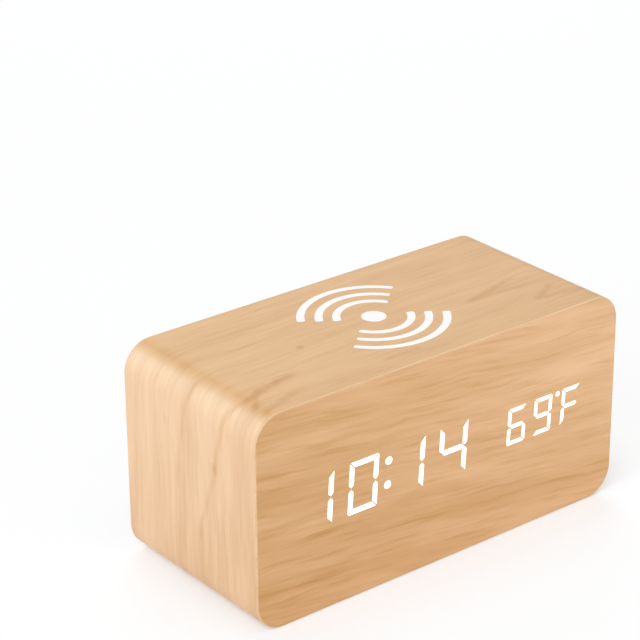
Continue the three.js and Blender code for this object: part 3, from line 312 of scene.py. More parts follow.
def new_material(name):
    """An empty material, and its place on the piece as a vector."""
    material = bpy.data.materials.new(name)
    material.use_nodes = True
    tree = material.node_tree
    return material, tree, add_node(tree, "ShaderNodeTexCoord").outputs["Object"]


def dress(material, colour, rough, height=None, bite=0, strength=1, sockets=None):
    """Feeds the shader of a material, with a fine relief as deep as the bite in metres."""
    tree = material.node_tree
    wires = {"Base Color": colour, "Roughness": rough, **(sockets or {})}
    if bite:
        bump = {"Height": height, "Distance": bite, "Strength": strength}
        wires["Normal"] = result(tree, "ShaderNodeBump", bump)
    wire(tree, tree.nodes["Principled BSDF"], wires)
    return material


def clouded(name, first, second, stretch, detail, rough, vary=0, bite=0, sockets=None, glow=0):
    """A material in two close shades of one cloudy noise, which may also vary its roughness.

    The bite is the depth of its relief, and the glow is the strength of its own light.
    """
    material, tree, place = new_material(name)
    cloud = noise(tree, place, stretch, detail)
    colour = blend(tree, cloud, first, second)
    if vary:
        rough = calc(tree, "MULTIPLY_ADD", cloud, vary, rough)
    if glow:
        sockets = {"Emission Color": colour, "Emission Strength": glow}
    return dress(material, colour, rough, cloud, bite, sockets=sockets)


def veneer_grain(
    tree, place, along, across, seed, light, dark, sway, ripples, streaks, tilt=0, painted_light_gradient=(0, 0, 0),
    lines=(), marks=()
):
    """Grain of one sheet, along one axis of the clock or tilted from it, with lines and knots in it.

    Its tone darkens by a given amount per metre along and across the grain, and at the zero point: a
    painted gradient of light and shade.
    """
    axes = add_node(tree, "ShaderNodeSeparateXYZ", {0: place}).outputs
    level = calc(tree, "MULTIPLY_ADD", axes[along], tilt, axes[across])
    wires = {"Along": axes[along], "Across": level, "Seed": seed}
    wires.update({"Sway": sway, "Ripples": ripples, "Streaks": streaks, "Light": light, "Dark": dark})
    painted_light_across = calc(tree, "MULTIPLY_ADD", axes[across], painted_light_gradient[1], painted_light_gradient[2])
    wires["Painted Light"] = calc(tree, "MULTIPLY_ADD", axes[along], painted_light_gradient[0], painted_light_across)
    wires["Marks"] = 0.0
    figures = [(grain_line, ("Start", "End", "From", "To", "Width", "Depth"), line) for line in lines]
    spots = ("Mark Along", "Mark Across", "Length", "Width", "Depth")
    figures += [(grain_mark, spots, mark) for mark in marks]
    for group, keys, values in figures:
        given = {"Along": axes[along], "Across": axes[across]}
        given.update(zip(keys, values))
        dark_part = result(tree, "ShaderNodeGroup", given, node_tree=group)
        wires["Marks"] = calc(tree, "ADD", wires["Marks"], dark_part)
    return add_node(tree, "ShaderNodeGroup", wires, node_tree=maple_grain).outputs


def veneer(name, sheet, wraps=()):
    """Satin maple veneer; further sheets meet the first where a named share of the piece says."""
    material, tree, place = new_material(name)
    grain = veneer_grain(tree, place, **sheet)
    colour, rough, height = grain["Color"], grain["Roughness"], grain["Height"]
    for share_name, other_sheet in wraps:
        share = add_node(tree, "ShaderNodeAttribute", attribute_name=share_name).outputs["Fac"]
        other = veneer_grain(tree, place, **other_sheet)
        colour = blend(tree, share, colour, other["Color"], clamp=False)
        height = result(tree, "ShaderNodeMix", {0: share, 2: height, 3: other["Height"]})
    dull = {"Specular IOR Level": 0.22}
    return dress(material, colour, rough, height, bite=0.00008, strength=0.12, sockets=dull)


def dressed_copy(node, name, skins, sharp, edge=0.0, merge_flats=True):
    """A copy of a solid with its flats cleaned up, its curves shaded smooth and its edges eased.

    The skins are its materials. All its faces have the first one until they are given another.
    """
    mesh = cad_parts[node].data.copy()
    mesh.name = name
    mesh.materials.clear()
    for skin in skins:
        mesh.materials.append(skin)
    work = bmesh.new()
    work.from_mesh(mesh)
    same_point = 2e-6
    bmesh.ops.remove_doubles(work, verts=work.verts, dist=same_point)
    if merge_flats:
        flat = math.radians(0.4)
        bmesh.ops.dissolve_limit(work, angle_limit=flat, verts=work.verts, edges=work.edges)
    work.to_mesh(mesh)
    work.free()
    if "custom_normal" in mesh.attributes:
        mesh.attributes.remove(mesh.attributes["custom_normal"])
    mesh.shade_smooth()
    mesh.set_sharp_from_angle(angle=math.radians(sharp))
    copy = bpy.data.objects.new(name, mesh)
    scene.collection.objects.link(copy)
    if edge:
        bevel = copy.modifiers.new("eased_edges", "BEVEL")
        bevel.width = edge
        bevel.segments = 2
        bevel.limit_method = "ANGLE"
        bevel.angle_limit = math.radians(sharp)
        bevel.harden_normals = True
    else:
        copy.modifiers.new("flat_faces", "WEIGHTED_NORMAL").keep_sharp = True
    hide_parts(node)
    return copy


def finish_nodes(material, *nodes):
    """Gives solids that stay as they are a better finish."""
    for node in nodes:
        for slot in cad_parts[node].material_slots:
            slot.material = material


case_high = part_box("wood_case")[1]
corner_radius = 0.01
edge_ease = 0.0006
skin_depth = 1.2 * edge_ease
facing, square_on = 0.6, 0.95
board_pale, board_brown = (0.42, 0.28, 0.16, 1), (0.24, 0.15, 0.08, 1)
raw_board = clouded("fibreboard", board_pale, board_brown, 1400, 3, rough=0.9, bite=0.0001)
# Each sheet's tone runs darker or paler across it by a painted gradient of light and shade.
top_sheet = dict(
    along=0, across=1, seed=3.1, sway=5, ripples=0.2, streaks=0.3, painted_light_gradient=(1.2, 0, 0),
    light=(0.74, 0.458, 0.217, 1), dark=(0.552, 0.296, 0.114, 1),
    lines=[
        (-0.082, -0.042, -0.0235, -0.0172, 0.0027, 0.85),
        (-0.073, -0.06, -0.0295, -0.0185, 0.003, 0.65),
        (-0.077, -0.048, -0.033, -0.0268, 0.0026, 0.5),
        (0.028, 0.058, -0.0105, -0.0058, 0.0023, 0.5),
        (0.028, 0.064, -0.0105, -0.0122, 0.0023, 0.5),
        (0.048, 0.063, -0.0232, -0.0172, 0.0025, 0.55),
        (0.049, 0.073, -0.0235, -0.0255, 0.0025, 0.5),
        (-0.02, -0.002, -0.0272, -0.0268, 0.0023, 0.5),
    ],
    marks=[(-0.033, -0.0035, 0.002, 0.0024, 0.8)],
)
left_sheet = dict(
    along=2, across=1, seed=8.4, sway=3, ripples=0.26, streaks=0.17, painted_light_gradient=(-4.6, -2.1, 0.18),
    light=(0.853, 0.605, 0.385, 1), dark=(0.6, 0.35, 0.17, 1),
    lines=[
        (0.086, 0.045, -0.0225, -0.0146, 0.0021, 0.45),
        (0.0525, 0.018, -0.0142, -0.0054, 0.002, 0.35),
        (0.03, -0.002, -0.0057, -0.0056, 0.0018, 0.25),
        (0.084, 0.03, -0.0016, 0.0066, 0.0019, 0.28),
        (0.068, 0.01, 0.0092, 0.0102, 0.0016, 0.2),
    ],
    marks=[(0.0495, -0.0141, 0.003, 0.0022, 0.5), (0.0565, 0.0112, 0.003, 0.0013, 0.3)],
)
right_sheet = dict(
    along=2, across=1, seed=34.6, sway=6, ripples=0.14, streaks=0.17, painted_light_gradient=(-3, 0, 0.12),
    light=(0.88, 0.565, 0.322, 1), dark=(0.64, 0.35, 0.16, 1),
    lines=[
        (0.086, 0.046, 0.0165, 0.0125, 0.0019, 0.3),
        (0.062, 0.034, 0.0118, 0.0084, 0.0017, 0.32),
        (0.03, -0.004, 0.0102, 0.0146, 0.0018, 0.25),
        (0.084, 0.02, -0.0086, -0.0122, 0.0018, 0.25),
    ],
    marks=[(0.0325, 0.0098, 0.0026, 0.0019, 0.55)],
)
back_sheet = dict(
    along=0, across=2, seed=14.2, sway=4, ripples=0.2, streaks=0.44,
    light=(0.85, 0.535, 0.294, 1), dark=(0.62, 0.345, 0.155, 1),
    marks=[(0.06, 0.02, 0.012, 0.003, 0.35)],
)
wraps = (("left_share", left_sheet), ("right_share", right_sheet))
case_veneer = veneer("case_veneer", top_sheet, wraps)
back_veneer = veneer("back_veneer", back_sheet)
case_skins = (raw_board, case_veneer, back_veneer)
case_shell = dressed_copy("wood_case", "case_shell", case_skins, sharp=30)
middle_z = case_high.z / 2


def past_flats(point):
    """How far a point lies past the flat of the side and of the top, where the edge is rounded."""
    past_x = max(abs(point[0]) - case_high.x + corner_radius, 0)
    past_z = max(abs(point[2] - middle_z) - middle_z + corner_radius, 0)
    return past_x, past_z


for face in case_shell.data.polygons:
    depth = corner_radius - math.hypot(*past_flats(face.center))
    if face.normal.y > facing and face.center.y > case_high.y - edge_ease:
        face.material_index = 2
    elif depth < skin_depth and abs(face.normal.y) < square_on:
        face.material_index = 1
# A side sheet takes over between two turns of the rounded edge; on the left a painted highlight makes it
# paler where it bends.
wrap_start, wrap_end = 17, 41
highlight_middle, highlight_reach = 50, 30
for name, side, painted_highlight in (("left_share", -1, 0.35), ("right_share", 1, 0)):
    share = case_shell.data.attributes.new(name, "FLOAT", "POINT")
    for vertex in case_shell.data.vertices:
        turn = math.degrees(math.atan2(*past_flats(vertex.co)))
        # Past 1 the share pushes the left sheet paler still: a painted highlight along the bend.
        share_with_highlight = 1 + painted_highlight * max(1 - abs(turn - highlight_middle) / highlight_reach, 0)
        wrapped = min(max((turn - wrap_start) / (wrap_end - wrap_start), 0), 1)
        if vertex.co.x * side > 0:
            share.data[vertex.index].value = share_with_highlight * wrapped
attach(case_shell, "housing")

back_frame = dressed_copy("back_board", "back_frame", (raw_board, back_veneer), sharp=30)
for face in back_frame.data.polygons:
    face.material_index = 1 if face.normal.y > facing else 0
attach(back_frame, "housing")
finish_nodes(raw_board, "front_board")

# Face veneer: one thin sheet glued over the front and eased at its edge.
# It is thin enough for the reading behind it to glow through.
# The front's tone pales towards the right and the top: a painted sheen.
front_sheet = dict(
    along=0, across=2, seed=21.7, sway=5, ripples=0.34, streaks=0.4, tilt=0.1, painted_light_gradient=(-3.2, -4.5, 0.11),
    light=(0.82, 0.512, 0.276, 1), dark=(0.59, 0.305, 0.1, 1),
    marks=[(-0.048, 0.012, 0.02, 0.003, 0.3)],
)
# The eased edge is paler: partly the veneer's lighter core, partly a painted highlight.
edge_core_and_highlight = dict(
    along=0, across=2, seed=5.3, sway=4, ripples=0.2, streaks=0.3, painted_light_gradient=(-4, 0, 0.2),
    light=(0.9, 0.66, 0.43, 1), dark=(0.7, 0.46, 0.25, 1),
)
face_skins = (veneer("face_veneer", front_sheet), veneer("face_edge_and_highlight", edge_core_and_highlight))
face_sheet = dressed_copy("front_veneer", "face_sheet", face_skins, sharp=40)
for face in face_sheet.data.polygons:
    face.material_index = 0 if abs(face.normal.y) > square_on else 1
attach(face_sheet, "housing")

# Lit reading: bars of light in the face, where lamps shine through the wells of the mask behind it.
# Each digit has seven mitred bars that lean a little, in the mask's own places.
digit_lean = math.tan(math.radians(3.5))
bar_gap = 0.0006
lit_bars = {"0": "abcdef", "1": "bc", "4": "bcfg", "6": "acdefg", "9": "abcdfg", "F": "aefg"}


def digit_bars(character, x, z, width, height, stroke):
    """Outlines of a digit's lit bars, from its lower left corner."""
    half, middle, gap = stroke / 2, height / 2, bar_gap / 2
    foot = gap + half - middle
    level = [(gap, 0), (width - gap, 0), (width - stroke - gap, -stroke), (stroke + gap, -stroke)]
    upright = [(0, -gap), (stroke, -stroke - gap), (stroke, foot), (half, gap - middle), (0, foot)]
    tip = [(half + gap, 0), (stroke + gap, half), (width - stroke - gap, half)]
    bars = {
        "a": [(p, height + q) for p, q in level],
        "b": [(width - p, height + q) for p, q in upright],
        "c": [(width - p, -q) for p, q in upright],
        "d": [(p, -q) for p, q in level],
        "e": [(p, -q) for p, q in upright],
        "f": [(p, height + q) for p, q in upright],
        "g": [(p, middle + q) for p, q in tip] + [(width - p, middle - q) for p, q in tip],
    }
    chosen = [bars[name] for name in lit_bars[character]]
    return [[(x + p + digit_lean * q, z + q) for p, q in bar] for bar in chosen]


def disc(x, z, radius, steps=28):
    turn = 2 * math.pi / steps
    return [(x + radius * math.cos(i * turn), z + radius * math.sin(i * turn)) for i in range(steps)]


def raised(name, skin, plates, strips, lift, place):
    """Thin flat shapes of one height and one material, in one mesh.

    A plate is an outline; a strip is a row of left and right edge points, closed where it ends
    as it starts. The place function turns a flat point and a height into a point in space.
    """
    work = bmesh.new()

    def both(point):
        return work.verts.new(place(*point, 0)), work.verts.new(place(*point, lift))

    def wall(first, second):
        work.faces.new((first[0], second[0], second[1], first[1]))

    for outline in plates:
        rims = [both(point) for point in outline]
        for side in (0, 1):
            work.faces.new([rim[side] for rim in rims])
        for first, second in zip(rims, rims[1:] + rims[:1]):
            wall(first, second)
    for pairs in strips:
        closed = pairs[0] == pairs[-1]
        rows = [(both(left), both(right)) for left, right in (pairs[:-1] if closed else pairs)]
        for one, two in zip(rows, rows[1:] + (rows[:1] if closed else [])):
            for side in (0, 1):
                work.faces.new((one[0][side], two[0][side], two[1][side], one[1][side]))
            wall(one[0], two[0])
            wall(one[1], two[1])
        if not closed:
            wall(*rows[0])
            wall(*rows[-1])
    bmesh.ops.recalc_face_normals(work, faces=work.faces)
    mesh = bpy.data.meshes.new(name)
    mesh.materials.append(skin)
    work.to_mesh(mesh)
    work.free()
    made = bpy.data.objects.new(name, mesh)
    scene.collection.objects.link(made)
    return made


time_left, time_low = -0.0577, 0.02965
time_size = {"width": 0.0117, "height": 0.0181, "stroke": 0.0019}
time_step, colon_room = 0.0179, 0.0011
plates = []
for i, character in enumerate("1014"):
    left = time_left + i * time_step + (colon_room if i > 1 else 0)
    plates += digit_bars(character, left, time_low, **time_size)
colon_dots = ((-0.02314, 0.04365), (-0.02365, 0.03535))
colon_radius = 0.0014
plates += [disc(x, z, colon_radius) for x, z in colon_dots]
unit_left, unit_low = 0.0266, 0.0322
unit_size = {"width": 0.00785, "height": 0.013, "stroke": 0.0014}
unit_step, degree_room = 0.0115, 0.00085
for i, character in enumerate("69F"):
    left = unit_left + i * unit_step + (degree_room if i > 1 else 0)
    plates += digit_bars(character, left, unit_low, **unit_size)
degree_x, degree_z, degree_radius = 0.049, 0.0443, 0.0009
plates.append(disc(degree_x, degree_z, degree_radius))
face_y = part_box("front_veneer")[0].y
film_lift = 0.00003
lamp_white, lamp_warm = (1, 0.975, 0.915, 1), (1, 0.945, 0.85, 1)
lamp_light = clouded("lamp_light", lamp_white, lamp_warm, (90, 1, 2600), 2, rough=0.6, glow=0.75)
lit_reading = raised(
    "lit_reading", lamp_light, plates, [], film_lift, place=lambda x, z, h: (x, face_y - h, z)
)
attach(lit_reading, "housing")

# Charging mark: a dot with three tapering arcs on each side, screen printed in white on the top.
# It shows where the coil lies under the wood.


def tapered_arc(x, y, radius, start, end, thick, thin, steps=44):
    """A strip along an arc that narrows from its start to its end, with rounded corners at both."""
    pairs = []
    corner = 0.3 * thick
    length = abs(math.radians(end - start)) * radius
    for i in range(steps + 1):
        share = (1 - math.cos(math.pi * i / steps)) / 2
        angle = math.radians(start + (end - start) * share)
        half = (thick + (thin - thick) * share) / 2
        near = min(share, 1 - share) * length
        if near < corner:
            half -= corner - math.sqrt(corner**2 - (corner - near) ** 2)
        reach = Vector((math.cos(angle), math.sin(angle)))
        middle = Vector((x, y))
        pairs.append((middle + reach * (radius + half), middle + reach * (radius - half)))
    return pairs


mark_x, mark_y = -0.0002, 0.0001
mark_thick, mark_thin = 0.0027, 0.002
dot_radius = 0.0041
mark_arcs = ((0.0121, 158, 28), (0.0178, 154, 33), (0.02365, 151, 35))
arcs = []
for radius, start, end in mark_arcs:
    for turn in (0, -180):
        turned = (start + turn, end + turn)
        arcs.append(tapered_arc(mark_x, mark_y, radius, *turned, mark_thick, mark_thin))
top_z = case_high.z
ink_white, ink_worn = (0.97, 0.965, 0.96, 1), (0.93, 0.915, 0.9, 1)
ink = clouded("white_print", ink_white, ink_worn, (60, 2200, 60), 3, rough=0.55, bite=0.00002)
dot = disc(mark_x, mark_y, dot_radius, steps=48)
charging_mark = raised(
    "charging_mark", ink, [dot], arcs, film_lift, place=lambda x, y, h: (x, y, top_z + h)
)
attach(charging_mark, "housing")

# Display stack: a frosted film, a black mask of light wells and a lamp board, behind the face.
# Film and mask sit in the window of the front board, and four screws hold the lamp board to it.


def moulded_grain_group():
    """Moulded plastic: a fine spark-eroded texture, and faint broad marks from handling."""
    numbers = ("X", "Y", "Z", "Grain", "Low", "High")
    tree, given = new_group("moulded_grain", numbers, results=("Shade", "Roughness", "Height"))
    place = vector(tree, given["X"], given["Y"], given["Z"])
    wires = {"Vector": place, "Scale": given["Grain"], "Detail": 2}
    fine = result(tree, "ShaderNodeTexNoise", wires)
    pits = add_node(tree, "ShaderNodeTexVoronoi", {"Vector": place, "Scale": given["Grain"]})
    scuff = noise(tree, place, 70, 4, 0.6)
    span = calc(tree, "SUBTRACT", given["High"], given["Low"])
    rough = calc(tree, "MULTIPLY_ADD", scuff, span, given["Low"])
    height = calc(tree, "ADD", fine, pits.outputs["Distance"])
    shade = calc(tree, "MULTIPLY", calc(tree, "ADD", fine, scuff), 0.5)
    add_node(tree, "NodeGroupOutput", {"Shade": shade, "Roughness": rough, "Height": height})
    return tree


moulded_grain = moulded_grain_group()


def moulded(name, deep, pale, grain, low, high, bite, shine=0.15):
    """A moulded plastic in two close shades, with its texture as deep as the bite."""
    material, tree, place = new_material(name)
    axes = add_node(tree, "ShaderNodeSeparateXYZ", {0: place}).outputs
    wires = {"X": axes[0], "Y": axes[1], "Z": axes[2], "Grain": grain, "Low": low, "High": high}
    skin = add_node(tree, "ShaderNodeGroup", wires, node_tree=moulded_grain).outputs
    colour = blend(tree, skin["Shade"], deep, pale)
    gloss = {"Specular IOR Level": shine}
    return dress(material, colour, skin["Roughness"], skin["Height"], bite, 0.5, gloss)


chip_black = (0.01, 0.01, 0.011, 1)


def board_face_group():
    """A printed board: green mask over copper runs, tinned pads, and the parts that stand on it."""
    numbers = ("U", "V", "Through", "Low", "High")
    tree, given = new_group(
        "board_face", numbers, ("Front Part",), ("Roughness", "Height"), ("Color",)
    )
    u = calc(tree, "MULTIPLY", given["U"], to_mm)
    v = calc(tree, "MULTIPLY", given["V"], to_mm)
    flat = vector(tree, u, v, 0)
    wires = {"Vector": flat, "Scale": 0.28, "Mortar Size": 0.045, "Mortar Smooth": 0.2}
    wires.update({"Brick Width": 1.7, "Row Height": 0.55})
    runs = add_node(tree, "ShaderNodeTexBrick", wires).outputs["Fac"]
    wires = {"Vector": flat, "Scale": 0.34, "Randomness": 0.7}
    spots = add_node(tree, "ShaderNodeTexVoronoi", wires).outputs["Distance"]
    pads = ramp(tree, calc(tree, "SUBTRACT", 0.2, spots), 0, 0.03)
    cloud = noise(tree, flat, 0.2, 3)
    mask = blend(tree, cloud, (0.008, 0.085, 0.03, 1), (0.014, 0.12, 0.048, 1))
    copper = blend(tree, runs, mask, (0.03, 0.19, 0.07, 1))
    board = blend(tree, pads, copper, (0.62, 0.6, 0.56, 1))
    below = calc(tree, "LESS_THAN", given["Through"], given["Low"])
    above = calc(tree, "GREATER_THAN", given["Through"], given["High"])
    colour = blend(tree, below, board, given["Front Part"])
    colour = blend(tree, above, colour, chip_black)
    rough = calc(tree, "MULTIPLY_ADD", pads, -0.14, 0.42)
    height = calc(tree, "ADD", runs, pads)
    add_node(tree, "NodeGroupOutput", {"Color": colour, "Roughness": rough, "Height": height})
    return tree


board_face = board_face_group()


board_thick, part_room = 0.00165, 0.001


def printed_board(name, through, low, high, front_part=chip_black):
    """A board along X, as thick as two planes across another axis; its parts stand past them."""
    material, tree, place = new_material(name)
    axes = add_node(tree, "ShaderNodeSeparateXYZ", {0: place}).outputs
    wires = {"U": axes[0], "V": axes[3 - through], "Through": axes[through], "Low": low, "High": high}
    wires["Front Part"] = front_part
    face = add_node(tree, "ShaderNodeGroup", wires, node_tree=board_face).outputs
    return dress(material, face["Color"], face["Roughness"], face["Height"], bite=0.00004)


mask_deep, mask_pale = (0.006, 0.006, 0.006, 1), (0.012, 0.012, 0.012, 1)
mask_black = moulded("mask_black", mask_deep, mask_pale, grain=2600, low=0.6, high=0.75, bite=0.00004)
milk, frost = (0.9, 0.89, 0.86, 1), (0.82, 0.81, 0.78, 1)
frosted_film = clouded("frosted_film", milk, frost, 3000, 2, rough=0.7, bite=0.00002)
finish_nodes(frosted_film, "diffuser_film")
finish_nodes(mask_black, "segment_mask")
lamp_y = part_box("front_board")[1].y
seam = 0.00005
lamp_pale = (0.85, 0.8, 0.5, 1)
lamp_board = printed_board(
    "lamp_board", through=1, low=lamp_y - seam, high=lamp_y + board_thick, front_part=lamp_pale
)
finish_nodes(lamp_board, "display_board")


def plated(name, deep, pale, rub, low, high):
    """Plated metal, rubbed finely along one way and a little duller in patches."""
    material, tree, place = new_material(name)
    lines = noise(tree, place, rub, 3, 0.6)
    dull = noise(tree, place, 160, 3)
    colour = blend(tree, dull, deep, pale)
    rough = calc(tree, "MULTIPLY_ADD", lines, high - low, low)
    return dress(material, colour, rough, lines, bite=0.00001, sockets={"Metallic": 1})


def new_tree(name, sizes):
    """A geometry tree with one input for each named size, and one for the mesh it starts from."""
    tree = bpy.data.node_groups.new(name, "GeometryNodeTree")
    tree.is_modifier = True
    tree.interface.new_socket("Start", in_out="INPUT", socket_type="NodeSocketGeometry")
    for key, kind in sizes.items():
        tree.interface.new_socket(key, in_out="INPUT", socket_type="NodeSocket" + kind)
    tree.interface.new_socket("Made", in_out="OUTPUT", socket_type="NodeSocketGeometry")
    return tree, add_node(tree, "NodeGroupInput").outputs


def end_tree(tree, made, material):
    """Closes a tree: single meshes from its copies, shaded smooth where round, in one material."""
    real = result(tree, "GeometryNodeRealizeInstances", {"Geometry": made})
    angle = add_node(tree, "GeometryNodeInputMeshEdgeAngle").outputs["Unsigned Angle"]
    rounded = math.radians(38)
    soft = calc(tree, "LESS_THAN", angle, rounded)
    wires = {"Geometry": real, "Shade Smooth": soft}
    smooth = result(tree, "GeometryNodeSetShadeSmooth", wires, domain="EDGE")
    wires = {"Geometry": smooth, "Shade Smooth": True}
    smooth = result(tree, "GeometryNodeSetShadeSmooth", wires, domain="FACE")
    dressed = result(tree, "GeometryNodeSetMaterial", {"Geometry": smooth, "Material": material})
    add_node(tree, "NodeGroupOutput", {"Made": dressed})


def moved(tree, shape, **how):
    return result(tree, "GeometryNodeTransform", {"Geometry": shape, **how})


def coiled(tree, wires, sides, radius):
    """A wire of even thickness along a spiral."""
    path = result(tree, "GeometryNodeCurveSpiral", wires)
    wires = {"Resolution": sides, "Radius": radius}
    profile = result(tree, "GeometryNodeCurvePrimitiveCircle", wires)
    wires = {"Curve": path, "Profile Curve": profile, "Fill Caps": True}
    return result(tree, "GeometryNodeCurveToMesh", wires)


def screw_tree():
    """Pan-head screws on given points: a domed head with a cross recess, and a shank with its thread."""
    sizes = {key: "Float" for key in ("Head", "Dome", "Shank", "Length", "Pitch", "Slot")}
    tree, given = new_tree("pan_head_screws", {**sizes, "Turn": "Rotation", "Material": "Material"})

    def cube(x, y, z, height):
        box = result(tree, "GeometryNodeMeshCube", {"Size": vector(tree, x, y, z)})
        return moved(tree, box, Translation=vector(tree, 0, 0, height))

    wires = {"Segments": 20, "Rings": 12, "Radius": 1}
    ball = result(tree, "GeometryNodeMeshUVSphere", wires)
    dome = moved(tree, ball, Scale=vector(tree, given["Head"], given["Head"], given["Dome"]))
    wide = calc(tree, "MULTIPLY", given["Head"], 3)
    long = calc(tree, "MULTIPLY", given["Head"], 1.2)
    under = cube(wide, wide, wide, calc(tree, "MULTIPLY", wide, -0.5))
    cross_one = cube(long, given["Slot"], given["Dome"], given["Dome"])
    cross_two = cube(given["Slot"], long, given["Dome"], given["Dome"])
    head = add_node(tree, "GeometryNodeMeshBoolean", {"Mesh 1": dome}, operation="DIFFERENCE")
    for tool in (under, cross_one, cross_two):
        tree.links.new(tool, head.inputs["Mesh 2"])
    wires = {"Vertices": 16, "Radius": given["Shank"], "Depth": given["Length"]}
    rod = add_node(tree, "GeometryNodeMeshCylinder", wires).outputs["Mesh"]
    middle = calc(tree, "MULTIPLY", given["Length"], -0.5)
    shank = moved(tree, rod, Translation=vector(tree, 0, 0, middle))
    turns = calc(tree, "DIVIDE", given["Length"], given["Pitch"])
    fall = calc(tree, "MULTIPLY", given["Length"], -0.94)
    wires = {"Resolution": 14, "Rotations": turns, "Height": fall}
    wires.update({"Start Radius": given["Shank"], "End Radius": given["Shank"]})
    thread = coiled(tree, wires, sides=4, radius=calc(tree, "MULTIPLY", given["Pitch"], 0.28))
    whole = add_node(tree, "GeometryNodeJoinGeometry")
    for part in (head.outputs["Mesh"], shank, thread):
        tree.links.new(part, whole.inputs[0])
    wires = {"Points": given["Start"], "Instance": whole.outputs[0], "Rotation": given["Turn"]}
    made = result(tree, "GeometryNodeInstanceOnPoints", wires)
    end_tree(tree, made, given["Material"])
    return tree


pan_head_screws = screw_tree()


def grow(name, tree, points, sizes):
    """Runs a tree on some points and keeps what it makes as a plain mesh."""
    mesh = bpy.data.meshes.new(name)
    mesh.from_pydata(points, [], [])
    piece = bpy.data.objects.new(name, mesh)
    scene.collection.objects.link(piece)
    modifier = piece.modifiers.new("grow", "NODES")
    modifier.node_group = tree
    inputs = [item for item in tree.interface.items_tree if item.in_out == "INPUT"]
    sockets = {item.name: item.identifier for item in inputs}
    for key, value in sizes.items():
        modifier[sockets[key]] = value
    graph = bpy.context.evaluated_depsgraph_get()
    made = bpy.data.meshes.new_from_object(piece.evaluated_get(graph))
    piece.modifiers.remove(modifier)
    piece.data = made
    made.name = name
    return piece


zinc_deep, zinc_pale = (0.5, 0.51, 0.53, 1), (0.66, 0.66, 0.67, 1)
zinc = plated("zinc", zinc_deep, zinc_pale, rub=(400, 3000, 3000), low=0.25, high=0.45)
screw_sizes = {"Head": 0.0019, "Dome": 0.0014, "Shank": 0.00075, "Pitch": 0.0007, "Slot": 0.0005}
four = range(1, 5)


def screws(kind, axis, head_end, turn):
    """Replaces four screws that point along one axis; the head end is 0 for low, 1 for high."""
    nodes = [f"{kind}_{i}" for i in four]
    points = []
    for node in nodes:
        low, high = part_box(node)
        seat = (low + high) / 2
        inward = 1 if head_end == 0 else -1
        seat[axis] = (low, high)[head_end][axis] + inward * screw_sizes["Dome"]
        points.append(seat)
    length = (high - low)[axis] - screw_sizes["Dome"]
    sizes = {**screw_sizes, "Length": length, "Turn": turn, "Material": zinc}
    made = grow(kind + "s", pan_head_screws, points, sizes)
    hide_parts(*nodes)
    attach(made, "housing")


screws("display_screw", axis=1, head_end=1, turn=(-math.pi / 2, 0, 0))

# Charger: a flat spiral of enamelled wire on a ferrite sheet, with its board under it.
# The stack lies in a pocket of the top wall, and four screws pull the board up against the wood.


def wound_wire_tree():
    """A wire wound in a spiral or a helix, to either hand, then turned and set in place."""
    sizes = {key: "Float" for key in ("Turns", "First Radius", "Last Radius", "Rise", "Wire")}
    sizes.update({"Left": "Bool", "Place": "Vector", "Turn": "Rotation", "Material": "Material"})
    tree, given = new_tree("wound_wire", sizes)
    wires = {"Resolution": 48, "Rotations": given["Turns"], "Height": given["Rise"]}
    wires["Reverse"] = given["Left"]
    wires.update({"Start Radius": given["First Radius"], "End Radius": given["Last Radius"]})
    winding = coiled(tree, wires, sides=12, radius=given["Wire"])
    made = moved(tree, winding, Translation=given["Place"], Rotation=given["Turn"])
    end_tree(tree, made, given["Material"])
    return tree


wound_wire = wound_wire_tree()
wire_deep, wire_pale = (0.5, 0.16, 0.055, 1), (0.64, 0.25, 0.09, 1)
metal_coat = {"Metallic": 1, "Coat Weight": 0.6}
enamelled_copper = clouded(
    "enamelled_copper", wire_deep, wire_pale, 500, 3, rough=0.22, vary=0.15, sockets=metal_coat
)
coil_low, coil_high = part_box("charging_coil")
ferrite_low, ferrite_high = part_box("ferrite_sheet")
coil_y = (ferrite_low.y + ferrite_high.y) / 2
coil_sizes = {
    "Turns": 7.0,
    "First Radius": 0.021,
    "Last Radius": 0.0105,
    "Rise": 0.0,
    "Wire": 0.0005,
    "Left": True,
    "Place": (0, coil_y, (coil_low.z + coil_high.z) / 2),
    "Turn": (0, 0, 0),
    "Material": enamelled_copper,
}
coil = grow("coil", wound_wire, [], coil_sizes)
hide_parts("charging_coil")
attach(coil, "housing")
grit_dark, grit_pale = (0.025, 0.025, 0.027, 1), (0.06, 0.06, 0.064, 1)
ferrite = clouded("sintered_ferrite", grit_dark, grit_pale, 2400, 4, rough=0.75, bite=0.00003)
finish_nodes(ferrite, "ferrite_sheet")
charger_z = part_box("charger_board")[1].z
charger_face = printed_board(
    "charger_face", through=2, low=charger_z - board_thick, high=charger_z + part_room
)
finish_nodes(charger_face, "charger_board")
screws("charger_screw", axis=2, head_end=0, turn=(math.pi, 0, 0))

# Rear cover: one black moulding with a rounded rim over the wood, a sunk panel and a battery tub.
# Snap hooks on its skirt hold it in the back board. The panel is sparked matte, the rim smoother.
panel_deep, panel_pale = (0.0058, 0.006, 0.0062, 1), (0.0095, 0.0097, 0.01, 1)
panel_black = moulded(
    "panel_black", panel_deep, panel_pale, grain=3200, low=0.5, high=0.66, bite=0.00005, shine=0.11
)
rim_deep, rim_pale = (0.0018, 0.0018, 0.0019, 1), (0.003, 0.003, 0.0032, 1)
rim_black = moulded(
    "rim_black", rim_deep, rim_pale, grain=4200, low=0.36, high=0.5, bite=0.00002, shine=0.05
)
rim_rise = 0.001
panel_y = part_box("rear_cover")[1].y - rim_rise
hair = 0.00001
cover_skins = (panel_black, rim_black)
rear_moulding = dressed_copy("rear_cover", "rear_moulding", cover_skins, sharp=35, merge_flats=False)
for face in rear_moulding.data.polygons:
    if face.center.y > panel_y + hair:
        face.material_index = 1
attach(rear_moulding, "housing")

# Signs on the panel: small raised signs in the same plastic, one for each control.
# A ring for setting, two arrowheads, a turning arrow for the reset and a pole sign at the socket.


